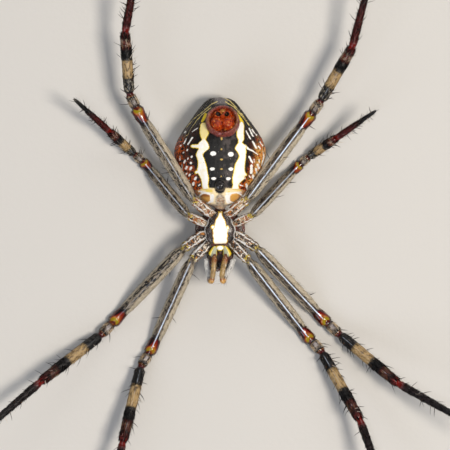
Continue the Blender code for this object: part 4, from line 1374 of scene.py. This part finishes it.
# Along a leg, in segments: the hairs' length in mm, how far they stand off it in degrees, and the share of
# them that is black.
HAIR_LENGTHS = (
    (0.0, 0.22), (0.9, 0.26), (1.1, 0.32), (1.9, 0.30), (2.5, 0.28), (3.0, 0.30), (3.3, 0.32), (3.55, 0.34),
    (3.6, 0.40), (3.72, 0.38), (3.78, 0.32), (3.88, 0.40), (3.97, 0.38), (4.1, 0.34), (4.6, 0.28),
    (5.0, 0.18),
)
HAIR_LIFTS = (
    (0.0, 8), (1.1, 6), (1.9, 7), (2.5, 8), (3.0, 11), (3.26, 10), (3.3, 7), (3.55, 8), (3.6, 17),
    (3.74, 15), (3.8, 12), (3.88, 18), (3.98, 20), (4.1, 18), (4.6, 16), (5.0, 12),
)
DARK_SHARES = (
    (0.0, 0.50), (0.8, 0.36), (1.05, 0.20), (1.50, 0.18), (1.75, 0.20), (1.84, 0.25), (1.87, 0.90),
    (1.92, 0.80), (2.44, 0.6), (2.50, 0.22), (2.68, 0.26), (2.78, 0.75), (2.90, 0.4), (3.02, 0.80),
    (3.25, 0.85), (3.28, 0.14), (3.52, 0.20), (3.56, 1.0), (3.72, 1.0), (3.75, 0.45), (3.86, 0.55),
    (3.89, 1.0), (4.0, 0.7), (4.06, 0.75), (5.0, 0.85),
)
# How strongly each leg shows the painted highlight line along its middle, where its hair thins out.
PAINTED_SHINE_STRENGTHS = {
    "leg1_L": 0.85, "leg1_R": 1.1, "leg2_L": 0.10, "leg2_R": 1.0, "leg3_L": 0.65, "leg3_R": 0.65,
    "leg4_L": 0.40, "leg4_R": 1.0,
}
LEGS = [(f"leg{pair}_{side}", pair, side) for pair in GIRTHS for side in SIDES]


def leg_line(leg, pair, side):
    """A leg's middle line from the breastplate to the claws, with its place in segments at each point."""
    centres, places = [], []
    last = np.array([0.0, -0.3, 3.8])
    for number, segment in enumerate(SEGMENTS):
        line = cad_line(f"{leg}_{segment}", 6)
        if np.linalg.norm(line[0] - last) > np.linalg.norm(line[-1] - last):
            line = line[::-1]
        last = line[-1]
        centres.append(line)
        places.append(number + np.linspace(0.04, 0.96, len(line)))
    centres, places = np.concatenate(centres), np.concatenate(places)
    first = centres[0] + (centres[0] - centres[1]) * 0.04 / (places[1] - places[0])
    final = centres[-1] + (centres[-1] - centres[-2]) * 0.04 / (places[-1] - places[-2])
    socket = np.array([SIDES[side] * SOCKETS[pair][0], *SOCKETS[pair][1:]])
    centres = np.concatenate([[socket, first], centres, [final]])
    places = np.concatenate([[-0.25, 0.0], places, [5.0]])
    points, bands, run = evenly(centres, places, sizes().ring_gap / MM)
    for _round in range(6):  # rounds the bends at the joints
        points[1:-1] = (points[:-2] + 2 * points[1:-1] + points[2:]) / 4
    return points, bands, run


def leg_surface(leg, pair, side):
    """One unbroken skin through a leg's five solids, from the breastplate's edge to the claws."""
    points, bands, run = leg_line(leg, pair, side)
    radius = (at(LEG_RADII, bands) * GIRTHS[pair])[:, None]
    form, turn = tube(points, radius[:, 0], sizes().leg_sides)
    shape = form.points.shape[:2]
    bands, run = bands[:, None], run[:, None]
    belly, flank = np.cos(turn)[None], np.sin(turn)[None]
    seed = pair * 7 + (side == "L")
    # The bare, glassy top of the knee, and the bare rings at the two joints beyond it.
    dome = np.where(bands < 2.285, 0.16 + 0.50 * np.clip(np.abs(bands - 2.08) / 0.205, 0, 1) ** 2, 0.80)
    knee = between(1.885, 1.915, 2.41, 2.44, bands) * smooth(-0.06, 0.06, belly - dome)
    small_joints = between(2.84, 2.88, 3.00, 3.03, bands) * 0.8 + between(3.965, 3.985, 4.03, 4.06, bands)
    # The painted bluish-white highlight line along the belly side, strong on the femur and the knee
    # and faint beyond them.
    line = between(0.98, 1.06, 2.09, 2.13, bands)
    for low, high, strength in ((3.05, 3.25, 0.55), (3.25, 3.54, 0.30), (3.74, 3.87, 0.40)):
        line = line + strength * between(low, low + 0.03, high - 0.03, high, bands)
    wavering = 0.92 + 0.22 * lumps(np.concatenate([run, run * 0, run * 0], axis=1), 0.6, seed)[:, None]
    line = np.clip(line * PAINTED_SHINE_STRENGTHS[leg] * wavering, 0, 1)
    bulge = 0.10 * bell(bands - 2.10, 0.13) * np.clip(belly, 0, 1) ** 2
    bulge = bulge + 0.13 * bell(bands - 2.34, 0.035) * np.clip(belly, 0, 1) ** 6
    form.push(bulge + 0.012 * lumps(form.points, 0.28, seed))
    grid = spread(bands, shape)
    front = pair < 3
    form.fields.update(
        bands=grid, belly=spread(belly, shape), flank=spread(flank, shape), off_mid=flank * radius,
        knee=knee, bare=np.clip(knee + small_joints, 0, 1), mid_line=line * (belly > 0),
        soot=front * (smooth(4.00, 4.12, grid) + 0.5 * smooth(3.73, 3.76, grid) * (grid < 3.9)),
        warm=np.full(shape, 0.12 if front else 1.0),
        patch=between(2.49, 2.53, 2.70, 2.74, grid) * (belly > 0) * (1.0 if front else 0.45),
        place=np.stack([spread(run, shape) + seed * 40, flank * radius, belly * radius], axis=-1),
    )
    form.points[..., 2] = np.maximum(form.points[..., 2], FLOOR_REST)
    form.refresh()
    return form


def dark_and_lit(roots, rng, pair):
    """Notes which hairs of a leg are black, with painted shade as more black ones on the femora's -X side,
    and how pale the others are, with a painted highlight on the edge hairs that is strongest on the +X side.
    """
    bands, flank = roots["bands"], roots["flank"]

    def some(share):
        """Picks about a share of the hairs, at random."""
        return rng.random(len(bands)) < share

    dark = some(at(DARK_SHARES, bands)).astype(float)
    # Painted shade: more black hairs on the femora's -X side, away from the light.
    shaded = between(0.12, 0.25, 0.55, 0.70, -flank) * between(1.0, 1.1, 1.9, 2.0, bands)
    dark = np.maximum(dark, some(0.30 * shaded))
    # Painted highlight: paler hairs along the +X side and the far -X edge, more of them on the belly side.
    lit = smooth(0.42, 0.58, flank) + 0.85 * smooth(0.70, 0.86, -flank)
    lit = lit * between(0.9, 1.2, 2.75, 2.85, bands)
    lit = lit * (0.35 + 0.65 * smooth(-0.1, 0.35, roots["belly"]))
    if pair > 2:  # the hind legs carry pale hairs on the patella and the tibia too
        greyed = between(2.40, 2.50, 3.18, 3.24, bands) + between(3.73, 3.76, 3.85, 3.88, bands)
        lit = np.maximum(lit, 0.8 * greyed * some(0.50))
    sooty = (pair < 3) * smooth(3.70, 3.75, bands) * (0.5 + smooth(3.95, 4.10, bands))
    dark = np.maximum(dark, some(0.95 * sooty))
    roots.update(lit=lit, dark=dark * (rng.random(len(bands)) > lit * 0.85))


# ---------------------------------------------------------------- steps, one for each piece or group


class SPIDER_OT_abdomen(bpy.types.Operator):
    """Make the soft abdomen with its belly stripes, and its short hair"""

    bl_idname = "spider.abdomen"
    bl_label = "Abdomen"

    def execute(self, context):
        form = abdomen_surface()
        skin_piece("abdomen_skin", form, abdomen_material(), ["abdomen"])
        rng = np.random.default_rng(11)
        plan, belly = form.points[..., :2], form.fields["belly"]
        density = 0.03 + 1.1 * smooth(0.0, -0.3, belly) + 0.5 * smooth(9.3, 10.4, plan[..., 1])
        from_collar = np.linalg.norm(plan - SPINNERETS_AT[:2], axis=-1)
        density = density * (1 - smooth(1.35, 1.25, from_collar) * (belly > 0))
        grow("abdomen_coat", form, rng, sizes().abdomen_hairs, density, (0.20, 22, 0.35, 0.020),
             hair_material("abdomen"), "abdomen_skin")
        return {"FINISHED"}


class SPIDER_OT_spinnerets(bpy.types.Operator):
    """Make the spinnerets: their collar, lobes, anal tubercle and the bristles round them"""

    bl_idname = "spider.spinnerets"
    bl_label = "Spinnerets"

    def execute(self, context):
        material = spinneret_material()
        collar = collar_surface()
        skin_piece("spinneret_collar", collar, material, ["spinnerets"])
        bristles = hair_material("spinnerets")
        rng = np.random.default_rng(12)
        rise = np.linspace(0, 1, COLLAR_ROWS)[:, None]
        density = np.broadcast_to(smooth(0.2, 0.5, rise), collar.points.shape[:2])
        grow("spinneret_collar_hair", collar, rng, 420, density, (0.26, 35, 0.5, 0.018),
             bristles, "spinneret_cuticle")
        rise = np.linspace(0, 1, LOBE_ROWS)[:, None]
        for name, lobe in LOBES.items():
            form = lobe_surface(name, *lobe)
            skin_piece("spinneret_" + name, form, material)
            density = np.broadcast_to(smooth(0.35, 0.7, rise), form.points.shape[:2])
            grow("spigots_" + name, form, rng, 70, density, (0.12, 45, 0.5, 0.012),
                 bristles, "spinneret_cuticle")
        return {"FINISHED"}


class SPIDER_OT_epigyne(bpy.types.Operator):
    """Make the epigyne, the glossy dark knob on the belly near the waist"""

    bl_idname = "spider.epigyne"
    bl_label = "Epigyne"

    def execute(self, context):
        low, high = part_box("epigyne")
        middle = np.array((low + high) / 2) / MM - BODY_ORIGIN
        half = np.array(high - low) / 2 / MM - 0.02
        sphere = ball(44, 64, 0.03)
        form = Surface(middle + sphere * half)
        x, y = form.points[..., 0] - middle[0], form.points[..., 1] - middle[1]
        pits = bell(np.hypot(x + 0.17, y - 0.16), 0.08) + bell(np.hypot(x - 0.17, y - 0.16), 0.08)
        hollows = (0.05 * bell(x, 0.05) + 0.07 * pits) * np.clip(sphere[..., 2], 0, 1)
        form.push(0.012 * lumps(form.points, 0.12, 51) - hollows)
        dark = shared(plate_material, "dark")
        skin_piece("epigyne_knob", with_place(form), dark, ["epigyne"])
        return {"FINISHED"}


class SPIDER_OT_carapace(bpy.types.Operator):
    """Make the carapace with its silver hair, and the soft wall between it and the breastplate"""

    bl_idname = "spider.carapace"
    bl_label = "Carapace"

    def execute(self, context):
        form = carapace_surface()
        skin_piece("carapace_plate", form, plate_material("carapace"), ["carapace"])
        rng = np.random.default_rng(13)
        density = 0.25 + smooth(0.3, -0.2, form.fields["belly"])
        for place, radius in EYES.values():
            for sign in SIDES.values():
                apart = np.linalg.norm(form.points - np.array(place) * [sign, 1, 1], axis=-1)
                density = density * smooth(radius + 0.02, radius + 0.10, apart)
        grow("carapace_coat", form, rng, sizes().carapace_hairs, density, (0.30, 15, 0.35, 0.026),
             hair_material("carapace"), "carapace_cuticle")
        wall = body_form(PLEURA, 0.5, 72, 80)
        wall.push(0.03 * lumps(wall.points, 0.25, 22))
        skin_piece("pleural_wall", with_place(wall), plate_material("membrane"))
        return {"FINISHED"}


class SPIDER_OT_eyes(bpy.types.Operator):
    """Make the eight eyes as separate domed lenses, each in a raised ring"""

    bl_idname = "spider.eyes"
    bl_label = "Eyes"

    def execute(self, context):
        lens, dark = plate_material("lens"), shared(plate_material, "dark")
        spin, tilt = np.linspace(0, 2 * math.pi, 33)[:, None], around(12)[:, None]
        for name, (place, radius) in EYES.items():
            for side, sign in SIDES.items():
                eye = f"{name}_{side}"
                middle = np.array(place) * [sign, 1, 1]
                dome = Surface(middle + ball(24, 32, 0.05) * radius)
                skin_piece(f"{eye}_lens", with_place(dome), lens, [eye])
                out = unit(middle - HEAD_MIDDLE)
                across, over = square_to(out, [0, 0, 1.0])
                hoop = (across * np.cos(spin) + over * np.sin(spin))[:, None]
                hoop = hoop * (radius * 0.97 + EYE_RING * np.cos(tilt))
                hoop = hoop + middle + out * (EYE_RING * np.sin(tilt) - radius * 0.12)
                skin_piece(f"{eye}_ring", with_place(Surface(hoop)), dark)
        return {"FINISHED"}


class SPIDER_OT_breastplate(bpy.types.Operator):
    """Make the breastplate with its white blaze and short hair, and the lip in front of it"""

    bl_idname = "spider.breastplate"
    bl_label = "Breastplate and lip"

    def execute(self, context):
        form = sternum_surface()
        skin_piece("breastplate", form, plate_material("breastplate"), ["sternum"])
        rng = np.random.default_rng(14)
        bare = np.clip(form.normals[..., 2], 0, 1) * smooth(-0.05, 0.10, form.fields["blaze"])
        grow("breastplate_coat", form, rng, 620, bare, (0.22, 30, 0.6, 0.014),
             shared(hair_material, "breastplate"), "mouth_cuticle")
        lip = body_form(LABIUM, 0.55, 64, 50)
        lip.push(-0.02)
        middle = np.hypot(lip.points[..., 0] / 0.36, (lip.points[..., 1] + 2.02) / 0.22) - 1
        lip.push(0.015 * lumps(lip.points, 0.15, 33))
        with_place(lip, middle=middle)
        skin_piece("lip", lip, plate_material("lip"), ["labium"])
        return {"FINISHED"}


class SPIDER_OT_mouth(bpy.types.Operator):
    """Make the mouth plates with their brush of hair, and the jaws with their folded fangs"""

    bl_idname = "spider.mouth"
    bl_label = "Mouth plates and jaws"

    def execute(self, context):
        plate, jaw, fang = plate_material("mouth"), plate_material("jaw"), plate_material("fang")
        brush, jaw_hair = hair_material("mouth"), shared(hair_material, "breastplate")
        rng = np.random.default_rng(15)
        for side, sign in SIDES.items():
            form = path_tube(ENDITE_PATH, ENDITE_RADII, sign, 48, 0.02, 0.02)
            form.push(0.012 * lumps(form.points, 0.15, 34))
            flank, share = form.fields["flank"], form.fields["share"]
            rim = np.clip(flank * 1.1 + 0.25, 0, 1)
            inner = smooth(-0.72, -0.86, flank) * smooth(0.15, 0.3, share)
            with_place(form, rim=rim, inner=inner, dark_end=smooth(0.90, 0.99, share))
            skin_piece(f"mouth_plate_{side}", form, plate, [f"endite_{side}"])
            end = smooth(0.80, 0.95, share) * smooth(0.5, 0.0, flank)
            grow(f"mouth_brush_{side}", form, rng, 130, end + 0.02, (0.18, 40, 0.5, 0.012),
                 brush, "mouth_cuticle")
            jaw_form = path_tube(CHELICERA_PATH, CHELICERA_RADII, sign, 56, 0.02, 0.03)
            jaw_form.push(0.02 * lumps(jaw_form.points, 0.3, 35))
            skin_piece(f"jaw_{side}", with_place(jaw_form), jaw, [f"chelicera_{side}"])
            grow(f"jaw_hair_{side}", jaw_form, rng, 260, None, (0.26, 35, 0.5, 0.016),
                 jaw_hair, "dark_cuticle")
            fang_form = path_tube(FANG_PATH, FANG_RADII, sign, 24, 0.015, 0.0)
            skin_piece(f"fang_{side}", with_place(fang_form), fang)
        return {"FINISHED"}


class SPIDER_OT_palps(bpy.types.Operator):
    """Make the two palps, folded back along the mouth, with their hair and bristles"""

    bl_idname = "spider.palps"
    bl_label = "Palps"

    def execute(self, context):
        skin = palp_material()
        hair, tan_hair = hair_material("palp"), hair_material("palp_end")
        rng = np.random.default_rng(16)
        for side, sign in SIDES.items():
            form = path_tube(PALP_PATH, PALP_RADII, sign, 40, 0.03, 0.045)
            share = form.fields["share"]
            joints = sum(bell(share - joint, 0.012) for joint in (0.40, 0.57, 0.74))
            form.push(-0.035 * joints + 0.012 * lumps(form.points, 0.2, 36))
            form.points[..., 0] -= PALP_SWING[side] * smooth(-2.6, -5.0, form.points[..., 1])
            skin_piece(f"palp_skin_{side}", with_place(form), skin, [f"palp_{side}"])
            furred = smooth(0.98, 0.90, share) * (1 - between(0.42, 0.45, 0.57, 0.60, share))
            for name, where, material in (("outer", share < 0.45, hair), ("inner", share > 0.55, tan_hair)):
                grow(f"palp_coat_{name}_{side}", form, rng, 1100, where * furred, (0.20, 10, 0.2, 0.020),
                     material, "mouth_cuticle")
            front = between(0.40, 0.45, 0.56, 0.62, share) + 0.10
            grow(f"palp_bristles_{side}", form, rng, 64, front, (0.52, 50, 0.6, 0.016),
                 shared(spine_material), "mouth_cuticle", (0.0, 0.4, 0.75), 1.0)
        return {"FINISHED"}


class SPIDER_OT_legs(bpy.types.Operator):
    """Make the eight legs' skins, each in one piece from the breastplate to the claws"""

    bl_idname = "spider.legs"
    bl_label = "Legs"

    def execute(self, context):
        material = leg_material()
        for leg, pair, side in LEGS:
            MADE[leg] = leg_surface(leg, pair, side)
            nodes = [f"{leg}_{segment}" for segment in SEGMENTS]
            skin_piece(f"{leg}_skin", MADE[leg], material, nodes)
        return {"FINISHED"}


class SPIDER_OT_leg_coats(bpy.types.Operator):
    """Lay the flat hairs of the eight legs, in the colours of their bands"""

    bl_idname = "spider.leg_coats"
    bl_label = "Coats of the legs"

    def execute(self, context):
        material = leg_hair_material()
        for leg, pair, side in LEGS:
            form, girth = MADE[leg], GIRTHS[pair]
            rng = np.random.default_rng(100 + pair * 2 + (side == "L"))
            fields = form.fields
            # Fewer hairs grow along the painted highlight line.
            line = fields["mid_line"] * np.exp(-((fields["off_mid"] / 0.13) ** 4))
            density = (1 - fields["bare"]) * np.clip(1 - 1.1 * line, 0, 1)
            density = density * (0.22 + 0.78 * smooth(0.6, 1.05, fields["bands"]))
            roots = form.roots(int(sizes().leg_hairs * girth**2), rng, density)
            length, lift = at(HAIR_LENGTHS, roots["bands"]) * girth, at(HAIR_LIFTS, roots["bands"])
            laid(roots, rng, length, lift, 0.13, sizes().hair_width / MM)
            dark_and_lit(roots, rng, pair)
            keep = ("place", "bands", "tint", "dark", "lit")
            hair_piece(f"{leg}_coat", roots, material, "leg_cuticle", keep=keep)
        return {"FINISHED"}


class SPIDER_OT_spines(bpy.types.Operator):
    """Set the stout spines and the longer fringe hairs of the legs"""

    bl_idname = "spider.spines"
    bl_label = "Spines and fringe"

    def execute(self, context):
        material = shared(spine_material)
        for leg, pair, side in LEGS:
            form = MADE[leg]
            rng = np.random.default_rng(200 + pair * 2 + (side == "L"))
            bands, covered = form.fields["bands"], 1 - form.fields["bare"]
            density = 0.22 * smooth(1.0, 1.1, bands) + smooth(2.5, 2.6, bands) + 1.1 * smooth(3.0, 3.1, bands)
            roots = form.roots(60, rng, density * covered * smooth(4.95, 4.85, bands))
            roots = laid(roots, rng, 1.00 * GIRTHS[pair], 58, 0.30, 0.085, 0.14)
            # Spines on the +X side, where the light falls, take the painted silver highlight more often.
            roots["tint"] = np.where(roots["flank"] > 0.2, roots["tint"] * 0.6 + 0.4, roots["tint"] * 0.9)
            hair_piece(f"{leg}_spines", roots, material, "leg_cuticle", (0.0, 0.25, 0.5, 0.75), 1.0)
            density = (0.5 + 1.6 * smooth(3.55, 3.6, bands)) * covered
            roots = laid(form.roots(sizes().leg_fringe, rng, density), rng, 0.52, 34, 0.3, 0.020)
            roots["tint"] = roots["tint"] * 0.92
            hair_piece(f"{leg}_fringe", roots, material, "leg_cuticle", (0.0, 0.35, 0.7), 0.8)
        return {"FINISHED"}


class SPIDER_OT_claws(bpy.types.Operator):
    """Make the two curved claws at the end of each leg"""

    bl_idname = "spider.claws"
    bl_label = "Claws"

    def execute(self, context):
        dark = shared(plate_material, "dark")
        share = np.linspace(0, 1, 18)
        out = share[:, None]
        for leg, _pair, _side in LEGS:
            form = MADE[leg]
            tip = form.points[-1].mean(axis=0)
            heading = unit(tip - form.points[-6].mean(axis=0))
            down = unit(np.array([0.0, 0.0, 1.0]) - heading * heading[2])
            across = np.cross(heading, down)
            for number, way in enumerate((-1.0, 1.0)):
                bend = heading * (out * 0.30 - 0.05) + down * out**2 * 0.16
                bend = bend + across * way * (0.035 + 0.04 * out)
                claw, _turn = tube(tip + bend, 0.030 * (1 - share) ** 0.7 + 0.003, 12)
                skin_piece(f"{leg}_claw_{number}", with_place(claw), dark)
        return {"FINISHED"}


VIEW_MIDDLE = BODY_ORIGIN[:2] + [0.44, 0.0]  # the point that the camera looks down on, in mm
VIEW_WIDTH = 39.6  # width of the view in mm, at the height of the belly
BELLY_HEIGHT = 4.0
SENSOR_WIDTH = 36.0
LIGHTS = (  # name, place, size and power in metres and watts, and colour
    ("key", (0.13, -0.02, 0.31), 0.08, 0.95, "#FFF6EA"),
    ("fill", (-0.17, -0.22, 0.24), 0.20, 0.34, "#EAF0FF"),
    ("rim", (0.05, 0.28, 0.16), 0.20, 0.22, "#FFFFFF"),
    ("glint", (-0.03, -0.04, 0.42), 0.02, 0.14, "#F2F6FF"),
)


class SPIDER_OT_stage(bpy.types.Operator):
    """Set the pale floor, the soft lights and the camera straight above the belly"""

    bl_idname = "spider.stage"
    bl_label = "Floor, lights and camera"

    def execute(self, context):
        bpy.ops.mesh.primitive_plane_add(size=2.0)
        floor = context.object
        floor.name = "floor"
        floor.data.materials.append(floor_material())
        world = bpy.data.worlds.new("soft_room")
        world.use_nodes = True
        sky = world.node_tree.nodes["Background"].inputs
        sky["Color"].default_value = (*linear("#E4E8EE"), 1.0)
        sky["Strength"].default_value = 0.24
        context.scene.world = world
        for name, place, size, power, code in LIGHTS:
            lamp = bpy.data.lights.new(name, "AREA")
            lamp.size = size
            lamp.energy = power
            lamp.color = linear(code)
            obj = bpy.data.objects.new(name, lamp)
            obj.location = place
            obj.rotation_mode = "QUATERNION"
            obj.rotation_quaternion = (-obj.location).to_track_quat("-Z", "Y")
            context.scene.collection.objects.link(obj)
        camera = bpy.data.objects.new("camera", bpy.data.cameras.new("camera"))
        context.scene.collection.objects.link(camera)
        camera.location = (VIEW_MIDDLE[0] * MM, VIEW_MIDDLE[1] * MM, sizes().camera_distance)
        camera.data.sensor_width = SENSOR_WIDTH
        camera.data.lens = SENSOR_WIDTH * (sizes().camera_distance - BELLY_HEIGHT * MM) / (VIEW_WIDTH * MM)
        camera.data.clip_start = 0.01
        context.scene.camera = camera
        context.scene.view_settings.view_transform = "Standard"
        return {"FINISHED"}


STEPS = (
    SPIDER_OT_abdomen, SPIDER_OT_spinnerets, SPIDER_OT_epigyne, SPIDER_OT_carapace, SPIDER_OT_eyes,
    SPIDER_OT_breastplate, SPIDER_OT_mouth, SPIDER_OT_legs, SPIDER_OT_leg_coats, SPIDER_OT_spines,
    SPIDER_OT_palps, SPIDER_OT_claws, SPIDER_OT_stage,
)


class SPIDER_PT_panel(bpy.types.Panel):
    """Lists the steps that build the spider, and its sizes"""

    bl_idname = "SPIDER_PT_panel"
    bl_label = "Orb weaver spider"
    bl_space_type = "VIEW_3D"
    bl_region_type = "UI"
    bl_category = "Spider"

    def draw(self, context):
        for step in STEPS:
            self.layout.operator(step.bl_idname)
        for name in SpiderSizes.__annotations__:
            self.layout.prop(context.scene.spider_sizes, name)
        for name in SpiderColours.__annotations__:
            self.layout.prop(context.scene.spider_colours, name)


CLASSES = (SpiderColours, SpiderSizes, *STEPS, SPIDER_PT_panel)


def register():
    """Makes the steps, the sizes and the colours known to Blender."""
    for cls in CLASSES:
        bpy.utils.register_class(cls)
    bpy.types.Scene.spider_colours = bpy.props.PointerProperty(type=SpiderColours)
    bpy.types.Scene.spider_sizes = bpy.props.PointerProperty(type=SpiderSizes)


def unregister():
    """Takes them away again."""
    del bpy.types.Scene.spider_sizes
    del bpy.types.Scene.spider_colours
    for cls in reversed(CLASSES):
        bpy.utils.unregister_class(cls)


def clear_start_scene():
    """Takes away what a new file holds: its cube, light and camera."""
    for obj in list(bpy.data.objects):
        if obj.name in ("Cube", "Light", "Camera"):
            bpy.data.objects.remove(obj, do_unlink=True)


def main():
    """Runs every step in order."""
    register()
    clear_start_scene()
    for step in STEPS:
        group, name = step.bl_idname.split(".")
        getattr(getattr(bpy.ops, group), name)()


if __name__ == "__main__":
    main()
